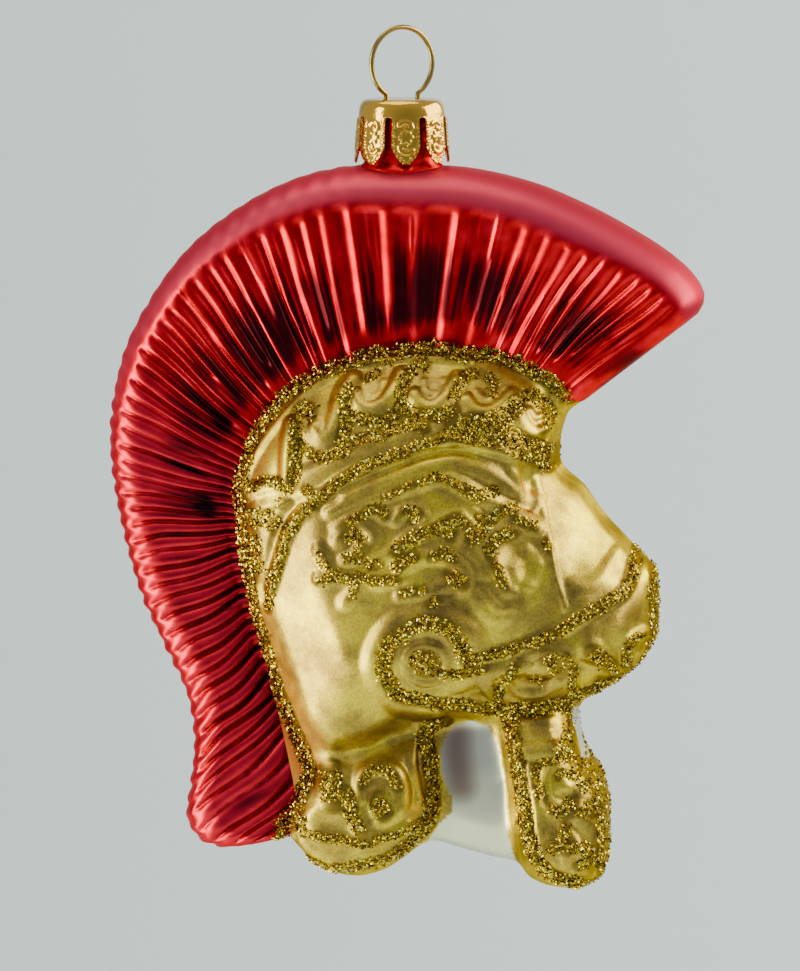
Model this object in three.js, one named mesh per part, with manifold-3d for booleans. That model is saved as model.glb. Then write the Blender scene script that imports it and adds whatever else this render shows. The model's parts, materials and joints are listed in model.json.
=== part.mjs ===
// A mould-blown glass ornament in the shape of a crested Roman officer's helmet, hung by its cap.
// Millimetres, +Z up, +X to the helmet's front. The mould parts on the plane Y = 0, so the right side
// (-Y) and the left side (+Y) are alike. The origin is the hanging point, inside the top of the loop.
import * as THREE from "three";
import { mergeVertices } from "three/addons/utils/BufferGeometryUtils.js";
import Module from "manifold-3d";

const wasm = await Module();
wasm.setup();

// Hanger and cap
const WIRE_DIAMETER = 0.75;
const LOOP_MEAN_RADIUS = 5.1;
const LOOP_TURN = THREE.MathUtils.degToRad(38);
const LEG_SPACING = 5.3;
const LEG_LENGTH = 12;
const LOOP_STEPS = 16;
const WIRE_CORNERS = 6;
const CAP_BELOW_LOOP = 0.3;
const CAP_TOP_DIAMETER = 9.8;
const CAP_SHOULDER_DIAMETER = 11.7;
const CAP_HEM_DIAMETER = 12.8;
const CAP_BEVEL_HEIGHT = 1.4;
const CAP_HEIGHT = 8.8;
const CAP_SHEET = 0.35;
const TAB_COUNT = 8;
const TAB_LENGTH = 6.6;
const TAB_POINT_LENGTH = 2.2;
const SLOT_WIDTH = 1.1;
const FIRST_SLOT_ANGLE = THREE.MathUtils.degToRad(33);

// Glass body
const CLEARANCE = 0.3;
const WALL = 0.8;
const CREST_LENGTH = 85;
const CREST_HEIGHT = 98;
const CREST_RIM_WIDTH = 20;
const CREST_FOOT_WIDTH = 15;
const CREST_RIM_DEPTH = 5.5;
const CREST_END_DEPTH = 4;
const CREST_FOOT_SINK = 3;
const CREST_END_WIDTH_SHARE = 0.25;
const CREST_END_STEPS = [0, 0.1, 0.35, 0.7];
const CREST_RIM_TURNS = [0.4, 0.8];
const CREST_RIM_POWER = 0.8;
const CREST_WAIST_SHARE = 0.3;
const CREST_WAIST_SWELL_SHARE = 0.4;
const CAP_TO_CREST = 0.3;
const RIB_COUNT = 40;
const RIB_RELIEF = 0.5;
const NECK_FLARE = 0.9;
const NECK_CORNERS = 16;
const HELMET_LENGTH = 62;
const HELMET_HEIGHT = 78.5;
const HELMET_BACK_REACH = 25.5;
const HELMET_DROP = 24.3;
const BOWL_WIDTH = 44;
const FOREHEAD_WIDTH = 34;
const CHEEK_WIDTH = 28;
const NECK_GUARD_WIDTH = 30;
const FILLER_WIDTH = 17;
const HOLDER_RAISE = 0.8;
const BROW_PLATE_RAISE = 0.9;
const SCROLL_THICKNESS = 1.5;
const SCROLL_RAISE = 0.35;
const SCROLL_CORNERS = 4;
const HOLLOW_RINGS = 2;

// Glue and glitter lines
const GLITTER_THICKNESS = 1.5;
const GLITTER_CORNERS = 4;

// Heights that follow from the sizes above
const loopCentre = -(LOOP_MEAN_RADIUS - WIRE_DIAMETER / 2);
const capTop = loopCentre - LOOP_MEAN_RADIUS - CAP_BELOW_LOOP;
const capHem = capTop - CAP_HEIGHT;
const crestTop = capHem - CAP_TO_CREST;
const helmetTop = crestTop - HELMET_DROP;
const neckRadius = CAP_SHOULDER_DIAMETER / 2 - CAP_SHEET - CLEARANCE;
const boreRadius = neckRadius - WALL;
const neckTop = capTop - CAP_SHEET - CLEARANCE - CAP_BEVEL_HEIGHT;

// Each row is one rib direction of the crest, from the front edge over the top to the lower back.
// rimX and rimDown are shares of CREST_LENGTH and CREST_HEIGHT from the neck's axis and crestTop.
// footAlong and footDown are shares of HELMET_LENGTH and HELMET_HEIGHT, as in the outlines below.
const CREST_ROWS = [
  { rimX: 0.498, rimDown: 0.211, footAlong: 0.846, footDown: 0.105 },
  { rimX: 0.507, rimDown: 0.188, footAlong: 0.827, footDown: 0.092 },
  { rimX: 0.486, rimDown: 0.155, footAlong: 0.792, footDown: 0.07 },
  { rimX: 0.441, rimDown: 0.121, footAlong: 0.75, footDown: 0.056 },
  { rimX: 0.376, rimDown: 0.086, footAlong: 0.714, footDown: 0.044 },
  { rimX: 0.306, rimDown: 0.055, footAlong: 0.656, footDown: 0.025 },
  { rimX: 0.218, rimDown: 0.024, footAlong: 0.593, footDown: 0.012 },
  { rimX: 0.112, rimDown: 0.004, footAlong: 0.508, footDown: 0.004 },
  { rimX: 0, rimDown: 0, footAlong: 0.419, footDown: 0.009 },
  { rimX: -0.1, rimDown: 0.003, footAlong: 0.338, footDown: 0.021 },
  { rimX: -0.188, rimDown: 0.023, footAlong: 0.266, footDown: 0.045 },
  { rimX: -0.276, rimDown: 0.063, footAlong: 0.205, footDown: 0.071 },
  { rimX: -0.356, rimDown: 0.119, footAlong: 0.15, footDown: 0.105 },
  { rimX: -0.418, rimDown: 0.187, footAlong: 0.098, footDown: 0.143 },
  { rimX: -0.46, rimDown: 0.255, footAlong: 0.059, footDown: 0.184 },
  { rimX: -0.484, rimDown: 0.323, footAlong: 0.032, footDown: 0.223 },
  { rimX: -0.493, rimDown: 0.39, footAlong: 0.018, footDown: 0.262 },
  { rimX: -0.488, rimDown: 0.453, footAlong: 0.018, footDown: 0.304 },
  { rimX: -0.473, rimDown: 0.527, footAlong: 0.026, footDown: 0.352 },
  { rimX: -0.444, rimDown: 0.622, footAlong: 0.04, footDown: 0.433 },
  { rimX: -0.405, rimDown: 0.699, footAlong: 0.061, footDown: 0.505 },
  { rimX: -0.366, rimDown: 0.77, footAlong: 0.093, footDown: 0.58 },
  { rimX: -0.352, rimDown: 0.842, footAlong: 0.13, footDown: 0.651 },
  { rimX: -0.36, rimDown: 0.915, footAlong: 0.159, footDown: 0.71 },
  { rimX: -0.366, rimDown: 0.954, footAlong: 0.182, footDown: 0.77 },
  { rimX: -0.346, rimDown: 0.986, footAlong: 0.193, footDown: 0.82 },
  { rimX: -0.3, rimDown: 1, footAlong: 0.181, footDown: 0.86 },
  { rimX: -0.215, rimDown: 0.988, footAlong: 0.2, footDown: 0.9 },
];

// Outlines of the helmet's forms in side view. along is the share of HELMET_LENGTH from the helmet's
// back, down the share of HELMET_HEIGHT below helmetTop.
const BOWL_OUTLINE = [
  { along: 0.43, down: -0.01 },
  { along: 0.57, down: 0.0 },
  { along: 0.7, down: 0.045 },
  { along: 0.795, down: 0.115 },
  { along: 0.757, down: 0.185 },
  { along: 0.79, down: 0.245 },
  { along: 0.85, down: 0.3 },
  { along: 0.905, down: 0.36 },
  { along: 0.93, down: 0.45 },
  { along: 0.9, down: 0.56 },
  { along: 0.8, down: 0.645 },
  { along: 0.64, down: 0.69 },
  { along: 0.48, down: 0.72 },
  { along: 0.38, down: 0.77 },
  { along: 0.28, down: 0.82 },
  { along: 0.185, down: 0.81 },
  { along: 0.13, down: 0.7 },
  { along: 0.082, down: 0.59 },
  { along: 0.035, down: 0.49 },
  { along: 0.005, down: 0.39 },
  { along: -0.005, down: 0.29 },
  { along: 0.025, down: 0.19 },
  { along: 0.11, down: 0.09 },
  { along: 0.26, down: 0.015 },
];
const FOREHEAD_OUTLINE = [
  { along: 0.765, down: 0.225 },
  { along: 0.84, down: 0.27 },
  { along: 0.9, down: 0.345 },
  { along: 0.945, down: 0.37 },
  { along: 0.986, down: 0.405 },
  { along: 0.994, down: 0.48 },
  { along: 0.988, down: 0.555 },
  { along: 0.948, down: 0.594 },
  { along: 0.885, down: 0.63 },
  { along: 0.79, down: 0.665 },
  { along: 0.66, down: 0.69 },
  { along: 0.54, down: 0.64 },
  { along: 0.5, down: 0.53 },
  { along: 0.58, down: 0.38 },
  { along: 0.68, down: 0.28 },
];
const CHEEK_OUTLINE = [
  { along: 0.64, down: 0.64 },
  { along: 0.79, down: 0.63 },
  { along: 0.815, down: 0.685 },
  { along: 0.825, down: 0.745 },
  { along: 0.868, down: 0.785 },
  { along: 0.89, down: 0.82 },
  { along: 0.893, down: 0.88 },
  { along: 0.893, down: 0.965 },
  { along: 0.875, down: 0.994 },
  { along: 0.825, down: 1.01 },
  { along: 0.76, down: 1.007 },
  { along: 0.7, down: 0.985 },
  { along: 0.672, down: 0.9 },
  { along: 0.66, down: 0.8 },
  { along: 0.64, down: 0.71 },
];
const NECK_GUARD_OUTLINE = [
  { along: 0.31, down: 0.71 },
  { along: 0.44, down: 0.69 },
  { along: 0.52, down: 0.71 },
  { along: 0.505, down: 0.76 },
  { along: 0.51, down: 0.82 },
  { along: 0.538, down: 0.86 },
  { along: 0.5, down: 0.905 },
  { along: 0.44, down: 0.945 },
  { along: 0.38, down: 0.98 },
  { along: 0.32, down: 0.993 },
  { along: 0.26, down: 0.987 },
  { along: 0.19, down: 0.965 },
  { along: 0.135, down: 0.925 },
  { along: 0.125, down: 0.87 },
  { along: 0.185, down: 0.77 },
];
const FILLER_OUTLINE = [
  { along: 0.38, down: 0.62 },
  { along: 0.57, down: 0.55 },
  { along: 0.76, down: 0.58 },
  { along: 0.822, down: 0.66 },
  { along: 0.833, down: 0.74 },
  { along: 0.81, down: 0.87 },
  { along: 0.75, down: 0.96 },
  { along: 0.67, down: 0.965 },
  { along: 0.565, down: 0.945 },
  { along: 0.47, down: 0.925 },
  { along: 0.38, down: 0.88 },
  { along: 0.35, down: 0.75 },
];
const HOLDER_OUTLINE = [
  { along: 0.85, down: 0.08 },
  { along: 0.81, down: 0.128 },
  { along: 0.765, down: 0.183 },
  { along: 0.77, down: 0.222 },
  { along: 0.66, down: 0.2 },
  { along: 0.56, down: 0.165 },
  { along: 0.43, down: 0.2 },
  { along: 0.32, down: 0.235 },
  { along: 0.24, down: 0.29 },
  { along: 0.14, down: 0.275 },
  { along: -0.03, down: 0.29 },
  { along: -0.03, down: 0.1 },
  { along: 0.2, down: -0.06 },
  { along: 0.5, down: -0.09 },
  { along: 0.8, down: -0.04 },
];
const BROW_PLATE_OUTLINE = [
  { along: 1.06, down: 0.4 },
  { along: 0.985, down: 0.41 },
  { along: 0.955, down: 0.455 },
  { along: 0.895, down: 0.5 },
  { along: 0.8, down: 0.55 },
  { along: 0.7, down: 0.585 },
  { along: 0.625, down: 0.57 },
  { along: 0.57, down: 0.5 },
  { along: 0.48, down: 0.485 },
  { along: 0.405, down: 0.54 },
  { along: 0.41, down: 0.61 },
  { along: 0.47, down: 0.66 },
  { along: 0.6, down: 0.685 },
  { along: 0.76, down: 0.69 },
  { along: 0.87, down: 0.67 },
  { along: 1.06, down: 0.62 },
];

// Each form swells from its outline to its half width at the centre. plan and section set how
// square the swelling is in side view and in cross section, corners and rings how finely it is cut.
const BOWL = {
  outline: BOWL_OUTLINE, along: 0.43, down: 0.39, width: BOWL_WIDTH, plan: 2.3, section: 2.2,
  corners: 28, rings: 4,
};
const FOREHEAD = {
  outline: FOREHEAD_OUTLINE, along: 0.74, down: 0.49, width: FOREHEAD_WIDTH, plan: 2.2, section: 2,
  corners: 20, rings: 4,
};
const CHEEK = {
  outline: CHEEK_OUTLINE, along: 0.76, down: 0.82, width: CHEEK_WIDTH, plan: 3.6, section: 2,
  corners: 20, rings: 4,
};
const NECK_GUARD = {
  outline: NECK_GUARD_OUTLINE, along: 0.33, down: 0.84, width: NECK_GUARD_WIDTH, plan: 3.2, section: 2,
  corners: 20, rings: 4,
};
const FILLER = {
  outline: FILLER_OUTLINE, along: 0.6, down: 0.77, width: FILLER_WIDTH, plan: 3, section: 2.2,
  corners: 16, rings: 3,
};
const FORMS = [BOWL, FOREHEAD, CHEEK, NECK_GUARD, FILLER];

// Running waves on the holder and other raised scrolls, as strokes in shares of the helmet's sizes.
const SCROLLS = [
  [[0.24, 0.22], [0.24, 0.16], [0.28, 0.1], [0.335, 0.075], [0.36, 0.12], [0.32, 0.13]],
  [[0.37, 0.16], [0.4, 0.11], [0.43, 0.075], [0.48, 0.07], [0.495, 0.115], [0.455, 0.12]],
  [[0.53, 0.12], [0.55, 0.085], [0.6, 0.075], [0.615, 0.12], [0.575, 0.13]],
  [[0.66, 0.14], [0.69, 0.11], [0.73, 0.13], [0.72, 0.17], [0.69, 0.16]],
  [[0.5, 0.61], [0.465, 0.58], [0.48, 0.54], [0.525, 0.55], [0.525, 0.59]],
  [[0.29, 0.83], [0.3, 0.79], [0.355, 0.775], [0.395, 0.81], [0.385, 0.86], [0.33, 0.875]],
  [[0.74, 0.84], [0.78, 0.8], [0.83, 0.83], [0.8, 0.87], [0.75, 0.9], [0.76, 0.94], [0.82, 0.945]],
];

// Routes of the glitter lines, in the same shares.
const GLITTER_LINES = {
  crest_line: [
    [0.82, 0.09], [0.76, 0.06], [0.66, 0.03], [0.56, 0.006], [0.46, 0.0], [0.36, 0.012], [0.26, 0.042],
    [0.17, 0.085], [0.09, 0.145], [0.04, 0.21], [0.02, 0.28], [0.032, 0.36], [0.055, 0.46], [0.085, 0.54],
    [0.13, 0.62], [0.18, 0.7], [0.21, 0.79], [0.18, 0.84],
  ],
  diadem_line: [
    [0.1, 0.25], [0.2, 0.26], [0.31, 0.226], [0.42, 0.19], [0.53, 0.156], [0.64, 0.17], [0.72, 0.197],
  ],
  brow_line: [
    [0.93, 0.59], [0.87, 0.625], [0.78, 0.65], [0.68, 0.66], [0.57, 0.655],
    [0.48, 0.635], [0.43, 0.59], [0.435, 0.53], [0.49, 0.5], [0.55, 0.52],
  ],
  cheek_line: [
    [0.67, 0.7], [0.69, 0.78], [0.71, 0.88], [0.74, 0.96], [0.8, 0.975], [0.85, 0.955], [0.865, 0.88],
    [0.86, 0.81], [0.82, 0.765],
  ],
  neck_guard_line: [
    [0.16, 0.885], [0.19, 0.93], [0.27, 0.96], [0.35, 0.955], [0.42, 0.915], [0.47, 0.865], [0.475, 0.8],
    [0.47, 0.74], [0.5, 0.705],
  ],
};

const helmetPoint = (along, down) => new THREE.Vector3(
  along * HELMET_LENGTH - HELMET_BACK_REACH, 0, helmetTop - down * HELMET_HEIGHT,
);

// A closed geometry as a solid that can be joined and cut.
function solid(geometry) {
  const bare = geometry.clone();
  bare.deleteAttribute("normal");
  bare.deleteAttribute("uv");
  const merged = mergeVertices(bare, 1e-4);
  return new wasm.Manifold(new wasm.Mesh({
    numProp: 3,
    vertProperties: new Float32Array(merged.attributes.position.array),
    triVerts: new Uint32Array(merged.index.array),
  }));
}

function geometryOf(body) {
  const { vertProperties, triVerts } = body.getMesh();
  const geometry = new THREE.BufferGeometry();
  geometry.setAttribute("position", new THREE.Float32BufferAttribute(vertProperties, 3));
  geometry.setIndex([...triVerts]);
  geometry.computeVertexNormals();
  return geometry;
}

const joined = (bodies) => bodies.reduce((whole, body) => whole.add(body));
const smoothCurve = (points, closed) => new THREE.CatmullRomCurve3(points, closed, "centripetal");

// A closed skin over rings of points, which run from one end point to the other.
function skinned(start, rings, end) {
  const count = rings[0].length;
  const points = [start, ...rings.flat(), end];
  const last = rings.length - 1;
  const corner = (ring, k) => 1 + ring * count + (k % count);
  const faces = [];
  for (let k = 0; k < count; k += 1) {
    faces.push(0, corner(0, k + 1), corner(0, k));
    for (let ring = 0; ring < last; ring += 1) {
      faces.push(corner(ring, k), corner(ring, k + 1), corner(ring + 1, k));
      faces.push(corner(ring, k + 1), corner(ring + 1, k + 1), corner(ring + 1, k));
    }
    faces.push(points.length - 1, corner(last, k), corner(last, k + 1));
  }
  const geometry = new THREE.BufferGeometry();
  const numbers = points.flatMap((point) => point.toArray());
  geometry.setAttribute("position", new THREE.Float32BufferAttribute(numbers, 3));
  geometry.setIndex(faces);
  return solid(geometry);
}

// A turned solid about Z. Its profile runs from the axis at the bottom to the axis at the top.
function turned(profile, segments) {
  const corners = profile.map(([radius, z]) => new THREE.Vector2(radius, z));
  return solid(new THREE.LatheGeometry(corners, segments).rotateX(Math.PI / 2));
}

// A rod along a smooth route.
function rod(route, diameter, sides, steps) {
  const section = new THREE.Shape();
  section.absarc(0, 0, diameter / 2, 0, 2 * Math.PI);
  const extrudePath = smoothCurve(route, false);
  const curveSegments = sides / 2;
  return solid(new THREE.ExtrudeGeometry(section, { extrudePath, steps, curveSegments }));
}

// One form of the helmet: rings that shrink from its outline to its centre as they rise on both
// sides of the parting plane. grow is what the form gains all round.
function swelling(form, grow, corners, ringCount) {
  const centre = helmetPoint(form.along, form.down);
  const outline = smoothCurve(form.outline.map((row) => helmetPoint(row.along, row.down)), true);
  const rim = outline.getSpacedPoints(corners).slice(1);
  const halfWidth = form.width / 2 + grow;
  const rings = [];
  for (let index = 1 - ringCount; index < ringCount; index += 1) {
    const angle = (index / ringCount) * (Math.PI / 2);
    const share = Math.cos(angle) ** (2 / form.plan);
    const side = Math.sign(index) * halfWidth * Math.abs(Math.sin(angle)) ** (2 / form.section);
    rings.push(rim.map((corner) => {
      const arm = corner.clone().sub(centre);
      arm.setLength((arm.length() + grow) * share);
      return arm.add(centre).setY(side);
    }));
  }
  return skinned(centre.clone().setY(-halfWidth), rings, centre.clone().setY(halfWidth));
}

// The crest: sections from its foot on the helmet to its rounded rim, with ribs on both sides.
// A crest that shrinks draws in from its two ends as well.
function crest(grow, sectionCount, ribRelief) {
  const rim = smoothCurve(CREST_ROWS.map(
    (row) => new THREE.Vector3(row.rimX * CREST_LENGTH, 0, crestTop - row.rimDown * CREST_HEIGHT),
  ), false);
  const foot = smoothCurve(CREST_ROWS.map((row) => helmetPoint(row.footAlong, row.footDown)), false);
  const endShare = CREST_END_DEPTH / rim.getLength();
  const shares = CREST_END_STEPS.map((step) => step * endShare);
  for (let index = 0; index <= sectionCount; index += 1) {
    shares.push(endShare + (index / sectionCount) * (1 - 2 * endShare));
  }
  shares.push(...CREST_END_STEPS.map((step) => 1 - step * endShare).reverse());
  const inset = Math.max(0, -grow) / rim.getLength();

  const footHalf = CREST_FOOT_WIDTH / 2 + grow;
  const rimHalf = CREST_RIM_WIDTH / 2 + grow;
  const waistHalf = THREE.MathUtils.lerp(footHalf, rimHalf, CREST_WAIST_SWELL_SHARE);
  const rimDepth = CREST_RIM_DEPTH + grow;
  const rings = shares.map((share, index) => {
    const along = rim.getUtoTmapping(THREE.MathUtils.lerp(inset, 1 - inset, share));
    const inner = foot.getPoint(along);
    const arm = rim.getPoint(along).sub(inner);
    const reach = arm.length() + grow;
    arm.normalize();
    const toEnd = Math.min(share, 1 - share, endShare) / endShare;
    const narrowing = CREST_END_WIDTH_SHARE + (1 - CREST_END_WIDTH_SHARE) * Math.sqrt(1 - (1 - toEnd) ** 2);
    const rib = toEnd < 1 ? 0 : ribRelief * (index % 2 - 0.5);
    const half = [
      { out: -CREST_FOOT_SINK - grow, side: footHalf },
      { out: CREST_WAIST_SHARE * reach, side: waistHalf + rib },
      { out: reach - rimDepth, side: rimHalf + rib },
    ];
    for (const turn of CREST_RIM_TURNS) {
      const rise = Math.sin(turn * Math.PI / 2) ** CREST_RIM_POWER;
      const fall = Math.cos(turn * Math.PI / 2) ** CREST_RIM_POWER;
      half.push({ out: reach - rimDepth * (1 - rise), side: rimHalf * fall });
    }
    const place = (out, side) => inner.clone().addScaledVector(arm, out).setY(side * narrowing);
    return [
      ...half.map(({ out, side }) => place(out, -side)),
      place(reach, 0),
      ...half.reverse().map(({ out, side }) => place(out, side)),
    ];
  });
  const middle = (ring) => ring.reduce((sum, point) => sum.add(point), new THREE.Vector3())
    .divideScalar(ring.length);
  return skinned(middle(rings[0]), rings, middle(rings.at(-1)));
}

// The holder and the brow plate stand proud of the forms under them, inside their own outlines.
function raisedPlate(raise, outline) {
  const shape = new THREE.Shape(outline.map((row) => {
    const corner = helmetPoint(row.along, row.down);
    return new THREE.Vector2(corner.x, corner.z);
  }));
  const depth = 2 * BOWL_WIDTH;
  const prism = new THREE.ExtrudeGeometry(shape, { depth, bevelEnabled: false });
  prism.rotateX(Math.PI / 2).translate(0, depth / 2, 0);
  const under = [BOWL, FOREHEAD].map((form) => swelling(form, raise, form.corners, form.rings));
  return joined(under).intersect(solid(prism));
}

// The neck stands on the crest and flares into it. The metal cap covers it.
function neck() {
  const flareRadius = neckRadius + NECK_FLARE;
  return turned([
    [0, crestTop - CREST_RIM_DEPTH],
    [flareRadius, crestTop - CREST_RIM_DEPTH],
    [flareRadius, crestTop - NECK_FLARE],
    [neckRadius, capHem + NECK_FLARE],
    [neckRadius, neckTop],
    [0, neckTop],
  ], NECK_CORNERS);
}

// The helmet under the crest, grown all round by grow, without its scrolls.
function helmet(grow) {
  return joined([
    ...FORMS.map((form) => swelling(form, grow, form.corners, form.rings)),
    raisedPlate(HOLDER_RAISE + grow, HOLDER_OUTLINE),
    raisedPlate(BROW_PLATE_RAISE + grow, BROW_PLATE_OUTLINE),
  ]);
}

const plainGlass = joined([helmet(0), crest(0, 2 * RIB_COUNT, RIB_RELIEF), neck()]);

// A route over the glass on one side: -1 is the right side and 1 the left. Its points lie at the
// given height over the surface.
const surface = new THREE.Mesh(geometryOf(plainGlass));
function routeOver(stroke, side, steps, height) {
  const flat = smoothCurve(stroke.map(([along, down]) => helmetPoint(along, down)), false);
  return flat.getSpacedPoints(steps).map((point) => {
    const eye = point.clone().setY(-BOWL_WIDTH);
    const [hit] = new THREE.Raycaster(eye, new THREE.Vector3(0, 1, 0)).intersectObject(surface);
    const raised = hit.point.addScaledVector(hit.face.normal, height);
    return raised.setY(-side * raised.y);
  });
}

function scroll(stroke, side) {
  const steps = stroke.length;
  const route = routeOver(stroke, side, steps, SCROLL_RAISE - SCROLL_THICKNESS / 2);
  return rod(route, SCROLL_THICKNESS, SCROLL_CORNERS, steps);
}

// The hollow of the glass, a wall inside its forms, open through the neck.
function hollow() {
  const bore = turned([
    [0, crestTop - 2 * CREST_RIM_DEPTH],
    [boreRadius, crestTop - 2 * CREST_RIM_DEPTH],
    [boreRadius, neckTop + WALL],
    [0, neckTop + WALL],
  ], NECK_CORNERS);
  return joined([
    ...FORMS.map((form) => swelling(form, -WALL, form.corners, HOLLOW_RINGS)),
    crest(-WALL - RIB_RELIEF, RIB_COUNT / 2, 0),
    bore,
  ]);
}

function glassBody() {
  const scrolls = [-1, 1].flatMap((side) => SCROLLS.map((stroke) => scroll(stroke, side)));
  return joined([plainGlass, ...scrolls]).subtract(hollow());
}

// What is cut out between two tabs of the cap: a slot that opens out between the tabs' points.
function tabCutter(angle) {
  const half = SLOT_WIDTH / 2;
  const wide = Math.PI * CAP_HEM_DIAMETER / TAB_COUNT / 2;
  const shape = new THREE.Shape();
  shape.moveTo(half, TAB_LENGTH);
  shape.absarc(0, TAB_LENGTH, half, 0, Math.PI);
  shape.lineTo(-half, TAB_POINT_LENGTH);
  shape.quadraticCurveTo(-half, TAB_POINT_LENGTH / 3, -wide, 0);
  shape.lineTo(-wide, -TAB_POINT_LENGTH);
  shape.lineTo(wide, -TAB_POINT_LENGTH);
  shape.lineTo(wide, 0);
  shape.quadraticCurveTo(half, TAB_POINT_LENGTH / 3, half, TAB_POINT_LENGTH);
  const cutter = new THREE.ExtrudeGeometry(shape, {
    depth: CAP_HEM_DIAMETER, curveSegments: 2, bevelEnabled: false,
  });
  return solid(cutter.rotateX(Math.PI / 2).rotateZ(angle).translate(0, 0, capHem));
}

// The cap: a thin turned shell with eight pointed tabs and two holes for the hanger's legs.
function cap() {
  const shell = turned([
    [0, capTop - CAP_SHEET],
    [CAP_TOP_DIAMETER / 2 - CAP_SHEET, capTop - CAP_SHEET],
    [CAP_SHOULDER_DIAMETER / 2 - CAP_SHEET, capTop - CAP_BEVEL_HEIGHT],
    [CAP_HEM_DIAMETER / 2 - CAP_SHEET, capHem],
    [CAP_HEM_DIAMETER / 2, capHem],
    [CAP_SHOULDER_DIAMETER / 2, capTop - CAP_BEVEL_HEIGHT],
    [CAP_TOP_DIAMETER / 2, capTop],
    [0, capTop],
  ], 2 * TAB_COUNT);
  const cutters = Array.from({ length: TAB_COUNT }, (_, index) => (
    tabCutter(FIRST_SLOT_ANGLE + index * 2 * Math.PI / TAB_COUNT)
  ));
  const legHoles = [-1, 1].map((side) => {
    const legRadius = WIRE_DIAMETER / 2 + CLEARANCE;
    const hole = new THREE.CylinderGeometry(legRadius, legRadius, 4 * CAP_SHEET, 6).rotateX(Math.PI / 2);
    const reach = side * LEG_SPACING / 2;
    return solid(hole.translate(reach * Math.cos(LOOP_TURN), reach * Math.sin(LOOP_TURN), capTop));
  });
  return [...cutters, ...legHoles].reduce((body, cutter) => body.subtract(cutter), shell);
}

// The hanger: a loop of wire whose two legs go down through the cap and spread inside the neck.
function hangerWire() {
  const legReach = LEG_SPACING / 2;
  const footReach = boreRadius - CLEARANCE - WIRE_DIAMETER / 2;
  const opening = Math.asin(legReach / LOOP_MEAN_RADIUS);
  const turnAt = capTop - WIRE_DIAMETER;
  const footAt = capTop - LEG_LENGTH;
  const route = [new THREE.Vector3(-footReach, 0, footAt), new THREE.Vector3(-legReach, 0, turnAt)];
  for (let step = 0; step <= LOOP_STEPS; step += 1) {
    const angle = opening + (step / LOOP_STEPS) * 2 * (Math.PI - opening);
    route.push(new THREE.Vector3(
      -LOOP_MEAN_RADIUS * Math.sin(angle), 0, loopCentre - LOOP_MEAN_RADIUS * Math.cos(angle),
    ));
  }
  route.push(new THREE.Vector3(legReach, 0, turnAt), new THREE.Vector3(footReach, 0, footAt));
  return rod(route, WIRE_DIAMETER, WIRE_CORNERS, 2 * LOOP_STEPS);
}

const LACQUERED_GLASS = { color: 0xb5121f, roughness: 0.12, metalness: 0.6 };
const GOLD_SHEET = { color: 0xd9a93a, roughness: 0.25, metalness: 1 };
const BRASS_WIRE = { color: 0xb08d45, roughness: 0.25, metalness: 1 };
const GOLD_GLITTER = { color: 0xb8932e, roughness: 0.45, metalness: 0.9 };

const ornament = new THREE.Group();
function addPiece(name, body, finish) {
  const piece = new THREE.Mesh(geometryOf(body), new THREE.MeshStandardMaterial(finish));
  piece.name = name;
  ornament.add(piece);
  return piece;
}

addPiece("glass_body", glassBody(), LACQUERED_GLASS);
addPiece("cap", cap(), GOLD_SHEET);
addPiece("hanger_wire", hangerWire(), BRASS_WIRE).rotation.z = LOOP_TURN;
const keptClear = helmet(CLEARANCE).add(crest(CLEARANCE + RIB_RELIEF / 2, RIB_COUNT / 2, 0));
for (const [side, word] of [[-1, "right"], [1, "left"]]) {
  for (const [line, stroke] of Object.entries(GLITTER_LINES)) {
    const steps = stroke.length;
    const route = routeOver(stroke, side, steps, CLEARANCE + GLITTER_THICKNESS / 3);
    const bead = rod(route, GLITTER_THICKNESS, GLITTER_CORNERS, steps);
    addPiece(`${word}_${line}`, bead.subtract(keptClear), GOLD_GLITTER);
  }
}

export default ornament;
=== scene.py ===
import math

import bpy
import numpy as np
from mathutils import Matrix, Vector
from mathutils.bvhtree import BVHTree
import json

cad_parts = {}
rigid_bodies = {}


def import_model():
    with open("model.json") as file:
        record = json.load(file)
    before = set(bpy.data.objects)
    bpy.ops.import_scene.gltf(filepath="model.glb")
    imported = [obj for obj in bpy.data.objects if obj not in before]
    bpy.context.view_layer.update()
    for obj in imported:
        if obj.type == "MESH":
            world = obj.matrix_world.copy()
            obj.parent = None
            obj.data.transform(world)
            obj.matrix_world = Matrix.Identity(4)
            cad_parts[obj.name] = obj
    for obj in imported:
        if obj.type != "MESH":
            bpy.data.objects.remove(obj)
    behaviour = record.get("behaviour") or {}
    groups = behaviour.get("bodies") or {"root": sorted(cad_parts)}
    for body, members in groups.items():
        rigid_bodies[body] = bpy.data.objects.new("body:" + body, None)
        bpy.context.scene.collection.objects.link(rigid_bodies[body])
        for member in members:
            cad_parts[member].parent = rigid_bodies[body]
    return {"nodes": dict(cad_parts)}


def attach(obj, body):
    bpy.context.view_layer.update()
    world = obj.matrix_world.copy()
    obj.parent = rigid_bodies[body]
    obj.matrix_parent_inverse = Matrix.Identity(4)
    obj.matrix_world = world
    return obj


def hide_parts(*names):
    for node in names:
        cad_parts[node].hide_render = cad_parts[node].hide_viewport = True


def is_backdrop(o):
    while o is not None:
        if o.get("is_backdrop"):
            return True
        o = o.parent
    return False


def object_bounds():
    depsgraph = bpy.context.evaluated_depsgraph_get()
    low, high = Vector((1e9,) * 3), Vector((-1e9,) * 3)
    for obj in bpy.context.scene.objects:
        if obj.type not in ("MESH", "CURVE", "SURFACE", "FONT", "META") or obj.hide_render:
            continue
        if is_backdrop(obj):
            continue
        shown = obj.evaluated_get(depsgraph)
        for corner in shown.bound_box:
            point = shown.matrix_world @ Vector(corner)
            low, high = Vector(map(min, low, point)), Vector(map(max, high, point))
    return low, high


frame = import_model()
cad_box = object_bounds()


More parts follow.
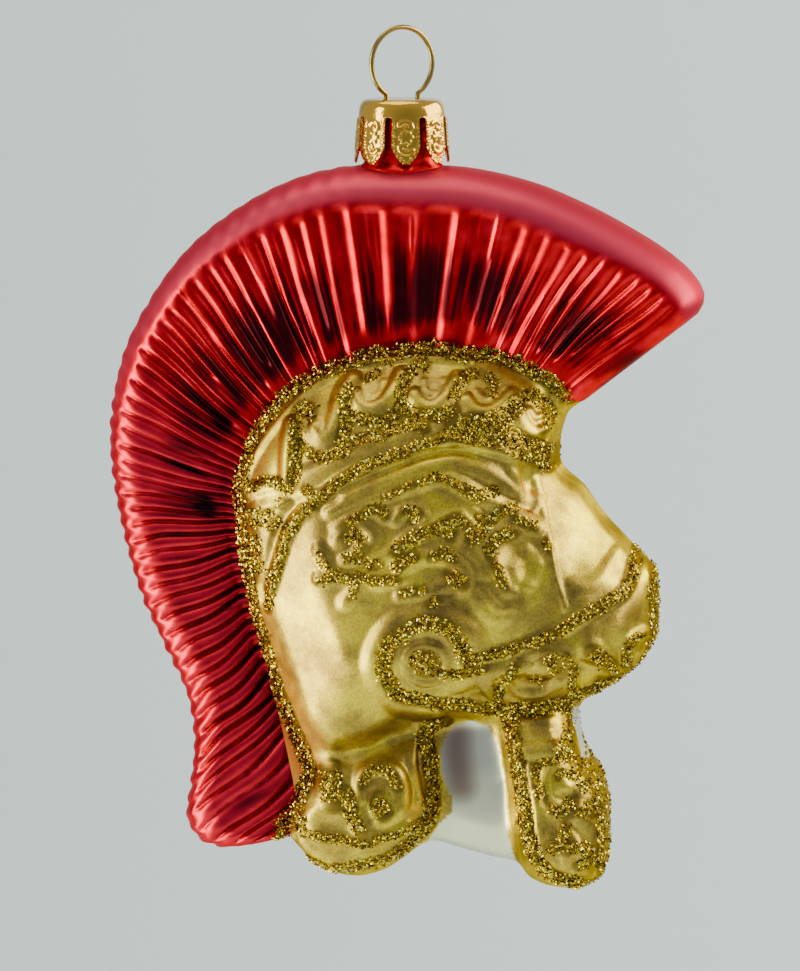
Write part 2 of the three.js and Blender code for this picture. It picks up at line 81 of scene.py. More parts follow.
# The helmet is the lower part of one mould-blown glass body, silvered inside and lacquered gold
# outside, with its scrolls and locks of hair pressed in by the mould. The glass between the cheek
# guard and the neck guard keeps its plain silver.
MM = 0.001
HELMET_CELL = 0.81 * MM
HELMET_SMOOTHING = 16
NECK_CUT = -19.1 * MM
CREST_SIDE_START = 0.9
CREST_LINE_RUN_ON = 8
CREST_HALF_REACH = 10.6
BORDER_OVERLAP = 0.3
BORDER_DEPTH = 4.3
SIDE_FACING = (0.12, 0.4)
RIDGE_SPREAD = 1.7
RELIEF_GAIN = 1.15
SKIN_INSET = 0.15
STROKE_STEP = 0.5
WELD = 0.001 * MM

# Each row is one rib direction of the crest in side view, as (x, z) in millimetres.
CREST_RIBS = [
    {"rim": (42.3, -39.9), "foot": (27, -51.8)},
    {"rim": (43.1, -37.6), "foot": (25.8, -50.7)},
    {"rim": (41.3, -34.4), "foot": (23.6, -49)},
    {"rim": (37.5, -31.1), "foot": (21, -47.9)},
    {"rim": (32, -27.7), "foot": (18.8, -47)},
    {"rim": (26, -24.6), "foot": (15.2, -45.5)},
    {"rim": (18.5, -21.6), "foot": (11.3, -44.5)},
    {"rim": (9.5, -19.6), "foot": (6, -43.8)},
    {"rim": (0, -19.2), "foot": (0.5, -44.2)},
    {"rim": (-8.5, -19.5), "foot": (-4.5, -45.2)},
    {"rim": (-16, -21.5), "foot": (-9, -47.1)},
    {"rim": (-23.5, -25.4), "foot": (-12.8, -49.1)},
    {"rim": (-30.3, -30.9), "foot": (-16.2, -51.8)},
    {"rim": (-35.5, -37.6), "foot": (-19.4, -54.8)},
    {"rim": (-39.1, -44.2), "foot": (-21.8, -58)},
    {"rim": (-41.1, -50.9), "foot": (-23.5, -61)},
    {"rim": (-41.9, -57.4), "foot": (-24.4, -64.1)},
    {"rim": (-41.5, -63.6), "foot": (-24.4, -67.4)},
    {"rim": (-40.2, -70.9), "foot": (-23.9, -71.2)},
    {"rim": (-37.7, -80.2), "foot": (-23, -77.5)},
    {"rim": (-34.4, -87.7), "foot": (-21.7, -83.2)},
    {"rim": (-31.1, -94.7), "foot": (-19.7, -89.1)},
    {"rim": (-29.9, -101.7), "foot": (-17.4, -94.6)},
    {"rim": (-30.6, -108.9), "foot": (-15.6, -99.3)},
    {"rim": (-31.1, -112.7), "foot": (-14.2, -104)},
    {"rim": (-29.4, -115.9), "foot": (-13.5, -107.9)},
    {"rim": (-25.5, -117.2), "foot": (-14.3, -111)},
    {"rim": (-18.3, -116), "foot": (-13.1, -114.2)},
]
# Raised strokes of the mould in side view: half width, height and route in millimetres. Both sides
# have them.
RIDGES = {
    "holder bead": (0.45, 0.35, [
        (-21.7, -64.2), (-20.3, -60.9), (-18.5, -57.7), (-16.7, -55.2), (-14.6, -52.8), (-12.5, -50.7),
        (-9.8, -48.6), (-6.3, -46.9), (-2, -46), (2.2, -45.7), (6.4, -45.7), (10.6, -46),
    ]),
    "wave 1": (1, 0.8, [(-14.4, -62.4), (-14.4, -59.6), (-14.3, -56.9), (-14.2, -54.9)]),
    "wave 2": (1.1, 0.8, [
        (-10.4, -55.4), (-9.6, -56.3), (-8.3, -55.6), (-7.4, -53.6), (-7, -51.4), (-6.4, -49.7),
        (-5.7, -48.8),
    ]),
    "wave 2 leaf": (0.55, 0.4, [(-12.6, -54.4), (-12, -56), (-10.6, -57), (-9.7, -56.7)]),
    "wave 3": (1, 0.75, [
        (-5.2, -50.4), (-4.2, -52.1), (-2.4, -52.5), (-0.7, -51.5), (0.4, -49.8), (1.3, -48),
    ]),
    "wave 3 eye": (0.45, 0.18, [
        (-3.9, -49.2), (-3.5, -50.4), (-2.5, -50.9), (-1.4, -50.1), (-1.3, -48.8),
    ]),
    "wave 4": (0.95, 0.7, [
        (3.3, -50.6), (4.2, -51.8), (6, -52.2), (7.6, -51), (8.4, -49.6), (9.1, -48.6),
    ]),
    "wave 4 eye": (0.4, 0.18, [(4.5, -48.5), (4.8, -49.7), (5.8, -50.4), (6.8, -49.8), (7.1, -48.5)]),
    "wave 5": (0.85, 0.6, [(10.6, -51.2), (11.8, -52.5), (13.7, -52.8), (15.4, -51.8), (16.6, -50.8)]),
    "wave 5 eye": (0.45, 0.18, [(11.9, -50.1), (12.4, -50.9), (13.5, -50.8), (14.1, -50.1)]),
    "wave 6": (0.75, 0.5, [(17.9, -53), (18.6, -54.7), (19.8, -56), (20.7, -55.7)]),
    "wave 6 eye": (0.4, 0.3, [(19.2, -52.8), (19.8, -54), (20.5, -53.8)]),
    "holder lower bar": (1.1, 0.45, [
        (-12.5, -62), (-9.9, -60.8), (-6.8, -59), (-4, -57.9), (-0.5, -56.9), (2.3, -55.9), (5, -54.8),
    ]),
    "diadem border": (0.8, 0.45, [
        (-20.7, -64.9), (-18.1, -63.6), (-15.3, -63.4), (-12.5, -64.1), (-9.5, -64.4), (-6.7, -62),
        (-3.8, -60.5), (-0.3, -59.2), (2.4, -58), (5.9, -56.9), (9.2, -56.7), (13.4, -57.6),
        (16.8, -59.1), (18, -64), (20.7, -65.5),
    ]),
    "back band bar": (0.9, 0.5, [(-20.2, -67.5), (-18.2, -66.2), (-16, -65.2), (-15, -65.5)]),
    "back band edge": (0.8, 0.5, [
        (-10.7, -65.6), (-12.5, -67.1), (-13.9, -68.8), (-14.9, -70.9), (-15.7, -73.2), (-16.5, -75.6),
        (-17.4, -78.3),
    ]),
    "lock 1": (0.9, 0.5, [
        (-6, -64.5), (-2.5, -63.1), (1.7, -61.7), (5.2, -60.3), (8.6, -59.6), (12, -60.3), (14.8, -61.8),
        (17.4, -63.8),
    ]),
    "lock 2": (0.9, 0.5, [
        (-8.1, -66.5), (-5.3, -65.2), (-1.8, -64.5), (1.7, -63.3), (5.2, -62.2), (8, -61.6),
        (10.3, -62.7), (12.8, -64.4), (15.4, -65.7), (17.9, -67.3), (20.9, -68.9),
    ]),
    "lock 3": (0.9, 0.5, [(-7, -68.6), (-5, -67.2), (-2.5, -66.4), (-0.5, -67)]),
    "lock 4": (0.8, 0.5, [(1.1, -67.5), (2.4, -66.2), (4.3, -66.1), (5.1, -66.9)]),
    "lock 5": (0.9, 0.55, [
        (-7, -70.4), (-5.8, -68.7), (-3.9, -68.1), (-2.2, -69.2), (-1.9, -71), (-3.6, -71.6),
    ]),
    "lock 6": (0.9, 0.5, [
        (1.1, -72.5), (2.5, -70.5), (4.6, -69.3), (7.1, -68), (9.4, -67.2), (11.2, -67.8), (11.9, -69.3),
    ]),
    "lock 7": (0.8, 0.5, [(-9.8, -71.9), (-8.8, -73.3), (-7.4, -74.8), (-5.3, -75.7)]),
    "lock 8": (0.9, 0.5, [(-6, -73.5), (-3.8, -72.6), (-1, -72.5), (1.5, -71.9)]),
    "lock 9": (0.9, 0.5, [(1.8, -74.7), (3.9, -73), (6.2, -72.5), (9, -73), (11, -74.9), (10.7, -77)]),
    "lock 10": (0.85, 0.5, [(-9.8, -76), (-7, -75.8), (-3.9, -75.8), (-0.3, -76.2), (2.1, -75.8)]),
    "lock 11": (0.8, 0.5, [(1.8, -78), (4.6, -78.1), (7.4, -77), (9.5, -76.1)]),
    "lock 12": (0.9, 0.5, [(-6, -79.2), (-4.4, -77.4), (-3.6, -76)]),
    "lock 13": (0.9, 0.5, [(6, -79.3), (6.8, -78.7), (7.5, -79.1)]),
    "lock 14": (0.8, 0.3, [(12.1, -66.5), (11, -71.5), (16.1, -67.3), (18.2, -68), (20.7, -69.2)]),
    "lock 15": (0.8, 0.3, [(14.6, -73.1), (14.8, -71.1), (15.5, -69.7), (17.2, -69.3), (18.3, -69.7)]),
    "lock 16": (0.7, 0.3, [(14.6, -73.2), (15.7, -75.2), (16.6, -77.4), (17.3, -77.7)]),
    "lock 17": (0.7, 0.25, [(13.2, -77.3), (14.3, -79), (15.7, -80.2), (17, -80)]),
    "lock 18": (0.7, 0.2, [(12.4, -78.4), (13.5, -80.4), (15.1, -81.6), (16.7, -81.4)]),
    "lock 19": (0.7, 0.25, [(10.7, -70.3), (11.5, -71.9), (12.9, -73.1), (13.5, -75.2)]),
    "lock 20": (0.7, 0.3, [(19.2, -71.7), (20.4, -73.1), (20.7, -75), (19.7, -76.8)]),
    "forehead ridge": (0.4, 0.3, [
        (20.2, -62.8), (21.2, -66.4), (22.4, -71.3), (23.2, -75.7), (24.6, -80.4),
    ]),
    "brow cap edge": (0.8, 0.25, [
        (25.8, -76.9), (27.6, -77.1), (29.3, -76.3), (30.6, -74.5), (31.9, -72.9), (33.2, -72.7),
    ]),
    "brow top border": (0.8, 0.5, [
        (33.5, -73.2), (33.9, -75), (33.3, -77.1), (32.2, -78.8), (30, -80), (27.3, -81.4), (23.8, -83.5),
        (20.3, -85.1), (16.2, -86.4), (12.7, -87.1), (10.1, -86.6),
    ]),
    "brow inner border": (0.6, 0.35, [
        (23.8, -85.1), (21, -86.3), (17.5, -87.6), (14.1, -88.5), (11.3, -89.2),
    ]),
    "brow bottom border": (0.8, 0.5, [
        (36.4, -86.6), (35.3, -89.4), (33.1, -91.7), (30.7, -91.9), (27.6, -93.3), (25.1, -94),
        (21.3, -94.7), (17.8, -95.1), (13.6, -95.1), (9.6, -94), (5.6, -93.2),
    ]),
    "volute outer": (1.3, 0.7, [
        (12.8, -86), (11.5, -83.6), (9.4, -81.8), (6.6, -80.7), (3.4, -80.9), (0.6, -82.5), (-1.2, -84.9),
        (-2, -87.6), (-1.5, -90.7), (0.2, -93.4), (2.8, -95.1), (6, -95.8),
    ]),
    "volute middle": (0.9, 0.5, [
        (10.3, -88), (9.4, -85.1), (7.7, -83.1), (5.2, -82.7), (2.5, -83.9), (1.1, -86), (0.8, -88.6),
        (2, -91), (4.2, -92.5), (7, -92.3),
    ]),
    "volute eye ring": (0.65, 0.6, [
        (5.2, -84.8), (7.3, -85.7), (8.2, -87.8), (7.3, -89.9), (5.2, -90.8), (3.1, -89.9), (2.2, -87.8),
        (3.1, -85.7), (5.2, -84.8),
    ]),
    "volute blob": (1.6, 0.8, [(5.2, -87.3), (5.2, -88.4)]),
    "volute stem": (1.1, 0.5, [(7.7, -91.9), (10.2, -90.7), (12.7, -89.8), (15.4, -88.8)]),
    "cartouche": (0.8, 0.5, [
        (13.2, -90.4), (13.7, -92.1), (14.9, -93.5), (17.2, -94.3), (20.6, -94.4), (23.5, -93.2),
        (25.3, -90.9), (25.2, -87.7), (23.8, -86.3), (21.7, -86.3), (19.6, -86.8),
    ]),
    "cartouche inner": (0.7, 0.4, [
        (16.2, -90.2), (16.7, -92.2), (18.7, -93.3), (21.5, -93), (23.6, -91.4),
    ]),
    "cartouche blob": (1.1, 0.5, [(17.5, -88.8), (18.2, -88)]),
    "cartouche blob 2": (1.3, 0.5, [(21.7, -88.8), (23.3, -87.6)]),
    "brow blob": (1.4, 0.6, [(28.5, -86.7), (29.3, -87.6), (30.5, -89.4)]),
    "brow curl": (0.8, 0.5, [(34.9, -84.9), (33.6, -85.7), (32.8, -87.7), (32.6, -89.8)]),
    "brow curl inner": (0.8, 0.4, [(34.5, -87.6), (33.7, -89.1)]),
    "cheek border back": (0.8, 0.5, [
        (16.8, -95.7), (17.1, -98.9), (17.6, -102.4), (18.1, -106), (18.6, -109.5), (19, -113.1),
        (19.8, -116), (21.4, -118.7), (23.8, -120.1), (26.8, -121.7), (29.1, -120.9), (29.8, -118.7),
        (29.7, -114.9), (29.8, -109.9), (29.1, -107.8), (27.8, -105),
    ]),
    "cheek front lip": (0.6, 0.4, [
        (24.5, -94.9), (25, -98.3), (25.5, -101), (25.1, -105.7), (27.3, -104.4),
    ]),
    "cheek panel top": (0.6, 0.35, [(18.4, -97.2), (21.4, -96.9), (23.7, -97.6), (24.3, -99.6)]),
    "cheek bar": (1, 0.5, [(18.7, -101.2), (21.5, -101), (23.9, -101)]),
    "cheek panel edge": (0.6, 0.4, [
        (19.4, -103.5), (19.9, -106.6), (20.5, -110.1), (21, -113.8), (22, -116.4), (23.9, -118.3),
        (27.1, -118.9),
    ]),
    "cheek scroll top": (0.9, 0.5, [
        (21.6, -106.5), (22, -104.4), (23.7, -103.5), (25.6, -104.4), (26.9, -106.2), (27.7, -108.1),
    ]),
    "cheek scroll blob": (1.1, 0.5, [(23.7, -104.9), (24.2, -106)]),
    "cheek scroll low": (0.9, 0.5, [
        (21.6, -107.9), (22.7, -109.1), (24.4, -109.7), (26.5, -109.1), (27.8, -110),
    ]),
    "cheek arc": (0.9, 0.5, [(24.8, -110.5), (26.5, -110.7), (27.8, -112.3), (28.7, -113.9)]),
    "cheek arc inner": (0.7, 0.4, [(24.3, -111.4), (24.5, -113.1), (23.4, -114)]),
    "cheek ring": (0.8, 0.45, [
        (24.5, -117), (25, -115.3), (26.2, -114.9), (27, -116.2), (26.7, -117.9), (25.4, -118.4),
        (24.6, -117.2),
    ]),
    "cheek blob": (1.2, 0.45, [(22.2, -113.7), (22.7, -114.7)]),
    "cheek blob right": (1, 0.45, [(27.1, -109.3), (27.8, -109.7)]),
    "neck border": (0.8, 0.5, [
        (-13.6, -118), (-14.7, -115.5), (-13.7, -113.4), (-12.7, -115.3), (-9.9, -117.5), (-6.3, -117.9),
        (-2.7, -117.5), (0.9, -116), (3.1, -114.9), (4.7, -111.9), (5.2, -108.6), (4.8, -105),
        (4.7, -101.4), (4.2, -99.8), (5.5, -98), (7.1, -97.4),
    ]),
    "neck front lip": (0.5, 0.35, [
        (3.7, -108.6), (3.1, -105.8), (2.7, -102.8), (2.7, -100.2), (3.2, -98.5),
    ]),
    "neck volute": (0.9, 0.6, [
        (-4.5, -108.2), (-4.5, -105.4), (-2.9, -103.7), (-0.6, -103.7), (1, -105.4), (1.4, -108),
        (0.5, -109.9), (-1.5, -111.1),
    ]),
    "neck volute inner": (0.9, 0.5, [
        (-2.9, -109), (-2.7, -107.5), (-1.4, -107), (-0.3, -108.2), (-0.6, -109.8), (-2, -110.1),
        (-2.9, -109),
    ]),
    "neck blob": (1.8, 0.6, [(-8.8, -104.3), (-8.5, -106.2), (-8.6, -108.3)]),
    "neck leaf": (1.2, 0.5, [(-6.7, -107.6), (-5.2, -109.3), (-4.8, -111.4), (-4.3, -112.8)]),
    "neck inner line": (0.7, 0.4, [
        (-13.1, -113), (-10.3, -113.6), (-6.8, -114.3), (-3.5, -114), (-0.4, -113.1), (2.1, -112.1),
    ]),
    "neck leaf low": (1, 0.4, [(-12.5, -111.1), (-10.6, -110.1), (-8.6, -110), (-6.7, -110.4)]),
}

# Pressed strokes of the mould: half width, depth and route.
GROOVES = {
    "diadem border groove": (0.6, 0.3, [
        (-18.2, -65.5), (-14.6, -64.5), (-11.7, -65), (-9.3, -65.6), (-6, -63.2), (-2.5, -61.4),
        (1.6, -59.6), (5.8, -58.3), (9.9, -57.9), (14, -58.9), (18, -60.7), (19.5, -65.9),
    ]),
    "back band groove": (0.7, 0.35, [
        (-12.5, -65), (-14.3, -66.9), (-15.7, -69.5), (-16.7, -72.4), (-17.7, -76.1), (-18.5, -80),
    ]),
    "brow hollow": (1.6, 0.55, [(17.8, -71.6), (18.9, -71.9), (19.7, -72.4)]),
    "brow hollow low": (1.3, 0.4, [(19.7, -74.3), (20.1, -75.2)]),
    "cartouche hollow": (1, 0.4, [(18.4, -91.2), (19.7, -91.8), (21.1, -91.7)]),
    "brow panel groove": (0.6, 0.3, [(26, -88.5), (27.9, -88.9), (29.7, -89.3)]),
    "cheek hollow 1": (0.8, 0.4, [(24.5, -107.5), (25.1, -107.9)]),
    "cheek hollow 2": (0.8, 0.35, [(25.9, -111.7), (27.3, -113), (27.8, -114.6)]),
    "cheek hollow 3": (0.9, 0.35, [(23.5, -97.5), (24.3, -98.8)]),
}
SILVER_PATCHES = {
    "between the guards": [
        (6.6, -100.8), (7.9, -98.7), (10.5, -97.6), (13, -98.4), (14.2, -100.4), (15, -103.2),
        (15.6, -109), (15.9, -114.7), (16.6, -118.3), (18.2, -121), (14.8, -123), (9.4, -123),
        (2.5, -118.1), (6.2, -112.7), (7.9, -110.8), (7.9, -108.8), (6.2, -104.8),
    ],
    "behind the neck guard": [
        (-1.1, -98.3), (0, -97.4), (0.9, -98.5), (1.7, -101.4), (2.4, -104.2), (1.4, -104),
        (-0.3, -101.7),
    ],
    "front of the cheek": [
        (24.6, -95.6), (25.9, -96.6), (26.6, -99.2), (26.9, -103.7), (26.1, -103), (25.5, -100.7),
        (24.9, -98.1),
    ],
}
SILVER_REACH = 10.5
# A brown reflection is painted on the thin silver here.
PAINTED_BROWN_REFLECTION = [(8.4, -99.8), (8.6, -103), (9.2, -107)]
BROWN_REFLECTION_HALF_WIDTH = 3.2
# Where the red lacquer of the crest meets the gold on the helmet's skin, and where it ends below.
RED_LOWEST_Z = -116
RED_BLEND = 0.3
RED_BORDER = [
    (-17.2, -114.8), (-14.5, -110.1), (-12.1, -105.3), (-13.5, -100.6), (-15.8, -95.4), (-18.1, -89.3),
    (-19.9, -82.5), (-21, -75.2), (-21.9, -68.2), (-21.4, -61.7), (-19.4, -56), (-16.5, -52.1),
    (-12.7, -49.1), (-6.3, -46.3), (2.1, -44.4), (10.4, -44.7), (19.7, -47.6), (25.2, -51.4), (28, -54),
]


def only(piece):
    """Selects one piece alone, so that the next operator acts on nothing else."""
    bpy.ops.object.select_all(action="DESELECT")
    piece.select_set(True)
    bpy.context.view_layer.objects.active = piece


def apply_modifier(piece, kind, **settings):
    only(piece)
    modifier = piece.modifiers.new(kind.title(), kind)
    for name, value in settings.items():
        setattr(modifier, name, value)
    bpy.ops.object.modifier_apply(modifier=modifier.name)


def spline(points, at):
    """Places on a smooth curve through points, where at counts points along it."""
    points = np.asarray(points, float)
    padded = np.vstack([2 * points[0] - points[1], points, 2 * points[-1] - points[-2]])
    low = np.clip(np.floor(at).astype(int), 0, len(points) - 2)
    part = (at - low)[:, None]
    before, start, end, after = (padded[low + step] for step in range(4))
    return 0.5 * (
        2 * start + (end - before) * part
        + (2 * before - 5 * start + 4 * end - after) * part ** 2
        + (3 * start - before - 3 * end + after) * part ** 3
    )


def along_stroke(route, step):
    """The route of a stroke as evenly spaced points."""
    dense = spline(route, np.linspace(0, len(route) - 1, 24 * len(route)))
    runs = np.concatenate([[0], np.cumsum(np.linalg.norm(np.diff(dense, axis=0), axis=1))])
    count = max(2, int(runs[-1] / step) + 1)
    marks = np.linspace(0, runs[-1], count)
    return np.stack([np.interp(marks, runs, dense[:, axis]) for axis in range(2)], axis=1)


def nearness(route, half_width, places):
    """How near each place lies to a stroke in side view: 1 on it, falling smoothly to 0 at its edge."""
    stroke = along_stroke(route, STROKE_STEP)
    low, high = stroke.min(axis=0) - half_width, stroke.max(axis=0) + half_width
    close = np.flatnonzero(np.all((places > low) & (places < high), axis=1))
    nearest = np.full(len(close), 1e9)
    for start, end in zip(stroke[:-1], stroke[1:]):
        run = end - start
        share = np.clip((places[close] - start) @ run / max(run @ run, 1e-9), 0, 1)
        gap = places[close] - start - share[:, None] * run
        nearest = np.minimum(nearest, np.einsum("ij,ij->i", gap, gap))
    found = np.zeros(len(places))
    found[close] = np.clip(1 - nearest / half_width ** 2, 0, 1)
    return found


def inside(outline, places):
    """Which places lie inside a closed outline in side view."""
    found = np.zeros(len(places), bool)
    for (x0, z0), (x1, z1) in zip(outline, outline[1:] + outline[:1]):
        crosses = (z0 > places[:, 1]) != (z1 > places[:, 1])
        edge_x = x0 + (places[:, 1] - z0) / (z1 - z0 + 1e-9) * (x1 - x0)
        found ^= crosses & (places[:, 0] < edge_x)
    return found


def soft_step(values, low, high):
    share = np.clip((values - low) / (high - low), 0, 1)
    return share * share * (3 - 2 * share)


def vertex_array(mesh, what, width=3):
    numbers = np.empty(len(mesh.vertices) * width)
    mesh.vertices.foreach_get(what, numbers)
    return numbers.reshape(-1, width)


def mark_vertices(piece, name, values):
    marks = piece.data.attributes.new(name, "FLOAT", "POINT")
    marks.data.foreach_set("value", np.asarray(values, np.float32))


helmet = bpy.data.objects.new("helmet_glass", frame["nodes"]["glass_body"].data.copy())
bpy.context.collection.objects.link(helmet)
only(helmet)
bpy.ops.object.mode_set(mode="EDIT")
bpy.ops.mesh.select_mode(type="VERT")
bpy.ops.mesh.select_all(action="SELECT")
bpy.ops.mesh.remove_doubles(threshold=WELD)
bpy.ops.mesh.bisect(plane_co=(0, 0, NECK_CUT), plane_no=(0, 0, 1), clear_outer=True)
bpy.ops.mesh.select_all(action="DESELECT")
bpy.ops.object.mode_set(mode="OBJECT")
foremost = max(helmet.data.vertices, key=lambda corner: corner.co.x)
foremost.select = True
bpy.ops.object.mode_set(mode="EDIT")
bpy.ops.mesh.select_linked()
bpy.ops.mesh.select_all(action="INVERT")
bpy.ops.mesh.delete(type="VERT")
bpy.ops.mesh.select_all(action="SELECT")
bpy.ops.mesh.fill_holes(sides=0)
bpy.ops.object.mode_set(mode="OBJECT")
apply_modifier(helmet, "REMESH", mode="VOXEL", voxel_size=HELMET_CELL)
apply_modifier(helmet, "SMOOTH", factor=0.5, iterations=HELMET_SMOOTHING)
apply_modifier(helmet, "SUBSURF", levels=1, render_levels=1)


def beyond(line, places):
    """How far each place lies outside a line in side view that runs from front to back."""
    signed = np.zeros(len(places))
    nearest = np.full(len(places), 1e9)
    for start, end in zip(line[:-1], line[1:]):
        run = end - start
        share = np.clip((places - start) @ run / (run @ run), 0, 1)
        gap = places - start - share[:, None] * run
        reach = np.linalg.norm(gap, axis=1)
        closer = reach < nearest
        nearest[closer] = reach[closer]
        signed[closer] = (np.sign(run[1] * gap[:, 0] - run[0] * gap[:, 1]) * reach)[closer]
    return signed


# The crest is a piece of its own below. Its part of the skin comes off as far as the line where red
# meets gold, and the hole is closed.
foot = np.array([rib["foot"] for rib in CREST_RIBS], float)
foot_line = np.vstack([
    foot[0] + CREST_LINE_RUN_ON * (foot[0] - foot[1]), foot,
    foot[-1] + CREST_LINE_RUN_ON * (foot[-1] - foot[-2]),
])
border = along_stroke(RED_BORDER, STROKE_STEP)[::-1]
corners = vertex_array(helmet.data, "co") / MM
outside = beyond(foot_line, corners[:, [0, 2]])
over_border = (beyond(border, corners[:, [0, 2]]) > BORDER_OVERLAP) & (outside > -BORDER_DEPTH)
on_crest = ((outside > CREST_SIDE_START) | over_border) & (np.abs(corners[:, 1]) < CREST_HALF_REACH)
helmet.data.vertices.foreach_set("select", on_crest)
only(helmet)
bpy.ops.object.mode_set(mode="EDIT")
bpy.ops.mesh.select_mode(type="VERT")
bpy.ops.mesh.delete(type="VERT")
bpy.ops.mesh.select_all(action="SELECT")
bpy.ops.mesh.fill_holes(sides=0)
bpy.ops.object.mode_set(mode="OBJECT")

# The relief stands along the skin's normals, least where the skin turns away from the side view.
corners = vertex_array(helmet.data, "co") / MM
normals = vertex_array(helmet.data, "normal")
flat = corners[:, [0, 2]]
raised = np.zeros(len(flat))
pressed = np.zeros(len(flat))
for half_width, height, route in RIDGES.values():
    near = nearness(route, RIDGE_SPREAD * half_width, flat)
    raised = np.maximum(raised, height * near ** 1.5)
for half_width, depth, route in GROOVES.values():
    near = nearness(route, RIDGE_SPREAD * half_width, flat)
    pressed = np.maximum(pressed, depth * near ** 1.5)
facing = soft_step(np.abs(normals[:, 1]), *SIDE_FACING)
corners += normals * ((RELIEF_GAIN * (raised - pressed) - SKIN_INSET) * facing)[:, None]
helmet.data.vertices.foreach_set("co", (corners * MM).ravel())
helmet.data.update()

silver = np.zeros(len(flat))
for outline in SILVER_PATCHES.values():
    silver = np.maximum(silver, inside(outline, flat) & (np.abs(corners[:, 1]) < SILVER_REACH))
mark_vertices(helmet, "silver", silver)
# A brown reflection is painted on the silver along this stroke.
mark_vertices(helmet, "painted_brown_reflection", nearness(PAINTED_BROWN_REFLECTION, BROWN_REFLECTION_HALF_WIDTH, flat))
red_side = soft_step(beyond(border, flat), -RED_BLEND, RED_BLEND)
mark_vertices(helmet, "red", red_side * (flat[:, 1] > RED_LOWEST_Z))
only(helmet)
bpy.ops.object.shade_smooth()


def linear(colour):
    """An sRGB hex colour as the linear values that a shader takes."""
    parts = [int(colour[start:start + 2], 16) / 255 for start in (1, 3, 5)]
    return [p / 12.92 if p <= 0.04045 else ((p + 0.055) / 1.055) ** 2.4 for p in parts] + [1]


def add_node(material, kind, inputs=None, **settings):
    """Adds a node to a material, with its settings, values and links."""
    node = material.node_tree.nodes.new(kind)
    for name, value in settings.items():
        setattr(node, name, value)
    for name, value in (inputs or {}).items():
        if isinstance(value, bpy.types.NodeSocket):
            material.node_tree.links.new(value, node.inputs[name])
        else:
            node.inputs[name].default_value = value
    return node


def new_material(name):
    """An empty node material with its surface shader."""
    material = bpy.data.materials.new(name)
    material.use_nodes = True
    material.node_tree.nodes.clear()
    shader = add_node(material, "ShaderNodeBsdfPrincipled")
    add_node(material, "ShaderNodeOutputMaterial", {"Surface": shader.outputs["BSDF"]})
    return material, shader


def link(material, output, socket):
    material.node_tree.links.new(output, socket)


def ramp(material, factor, stops):
    """A colour ramp from a factor through stops of place and hex colour."""
    made = add_node(material, "ShaderNodeValToRGB", {"Fac": factor})
    elements = made.color_ramp.elements
    while len(elements) < len(stops):
        elements.new(1)
    for element, (place, colour) in zip(elements, stops):
        element.position = place
        element.color = linear(colour)
    return made.outputs["Color"]


# Silvered glass under a satin gold lacquer that was sprayed on: soft metal gloss, paler and browner
# in clouds, with a fine grain, drawn as coarse as it needs to show. The glitter lies in a bed of dark
# glue. Where the lacquer is left out the silver shows, with a painted brown reflection on it.
GOLD_GRAIN_SIZE = 0.3 * MM
GOLD_GRAIN_HEIGHT = 0.03 * MM
GOLD_CLOUD_SIZE = 6 * MM
GOLD_ROUGHNESS = 0.37
SILVER_ROUGHNESS = 0.3
gold, shader = new_material("satin_gold_lacquer_on_silvered_glass")
place = add_node(gold, "ShaderNodeTexCoord").outputs["Object"]
grain = add_node(gold, "ShaderNodeTexNoise", {
    "Vector": place, "Scale": 1 / GOLD_GRAIN_SIZE, "Detail": 2.0, "Roughness": 0.6,
})
cloud = add_node(gold, "ShaderNodeTexNoise", {
    "Vector": place, "Scale": 1 / GOLD_CLOUD_SIZE, "Detail": 4.0, "Roughness": 0.6,
})
tint = ramp(gold, cloud.outputs["Fac"], [(0.34, "#9a7e40"), (0.5, "#c8a848"), (0.62, "#ecce44")])
speckle = ramp(gold, grain.outputs["Fac"], [(0.35, "#c4b890"), (0.6, "#ffffff")])
lacquer = add_node(gold, "ShaderNodeMix", {
    "Factor": 0.6, 6: tint, 7: speckle,
}, data_type="RGBA", blend_type="MULTIPLY")
glued = add_node(gold, "ShaderNodeAttribute", attribute_name="glue").outputs["Fac"]
bedded = add_node(gold, "ShaderNodeMix", {
    "Factor": glued, 6: lacquer.outputs[2], 7: linear("#84682a"),
}, data_type="RGBA")
red_share = add_node(gold, "ShaderNodeAttribute", attribute_name="red").outputs["Fac"]
two_tone = add_node(gold, "ShaderNodeMix", {
    "Factor": red_share, 6: bedded.outputs[2], 7: linear("#5a0210"),
}, data_type="RGBA")
# The silver's colour is mixed towards a painted brown reflection.
painted_brown_reflection = add_node(gold, "ShaderNodeAttribute", attribute_name="painted_brown_reflection").outputs["Fac"]
silvering = add_node(gold, "ShaderNodeMix", {
    "Factor": painted_brown_reflection, 6: linear("#e4dec6"), 7: linear("#947c70"),
}, data_type="RGBA")
bare = add_node(gold, "ShaderNodeAttribute", attribute_name="silver").outputs["Fac"]
colour = add_node(gold, "ShaderNodeMix", {
    "Factor": bare, 6: two_tone.outputs[2], 7: silvering.outputs[2],
}, data_type="RGBA")
edge_two_tone = add_node(gold, "ShaderNodeMix", {
    "Factor": red_share, 6: linear("#dcc23c"), 7: linear("#7a0c1c"),
}, data_type="RGBA")
edge_colour = add_node(gold, "ShaderNodeMix", {
    "Factor": bare, 6: edge_two_tone.outputs[2], 7: linear("#d8d8d8"),
}, data_type="RGBA")
gloss = add_node(gold, "ShaderNodeMix", {"Factor": bare, 2: GOLD_ROUGHNESS, 3: SILVER_ROUGHNESS})
depth = add_node(gold, "ShaderNodeMath", {0: 1.0, 1: bare}, operation="SUBTRACT")
bumps = add_node(gold, "ShaderNodeBump", {
    "Height": grain.outputs["Fac"], "Strength": depth.outputs[0], "Distance": GOLD_GRAIN_HEIGHT,
})
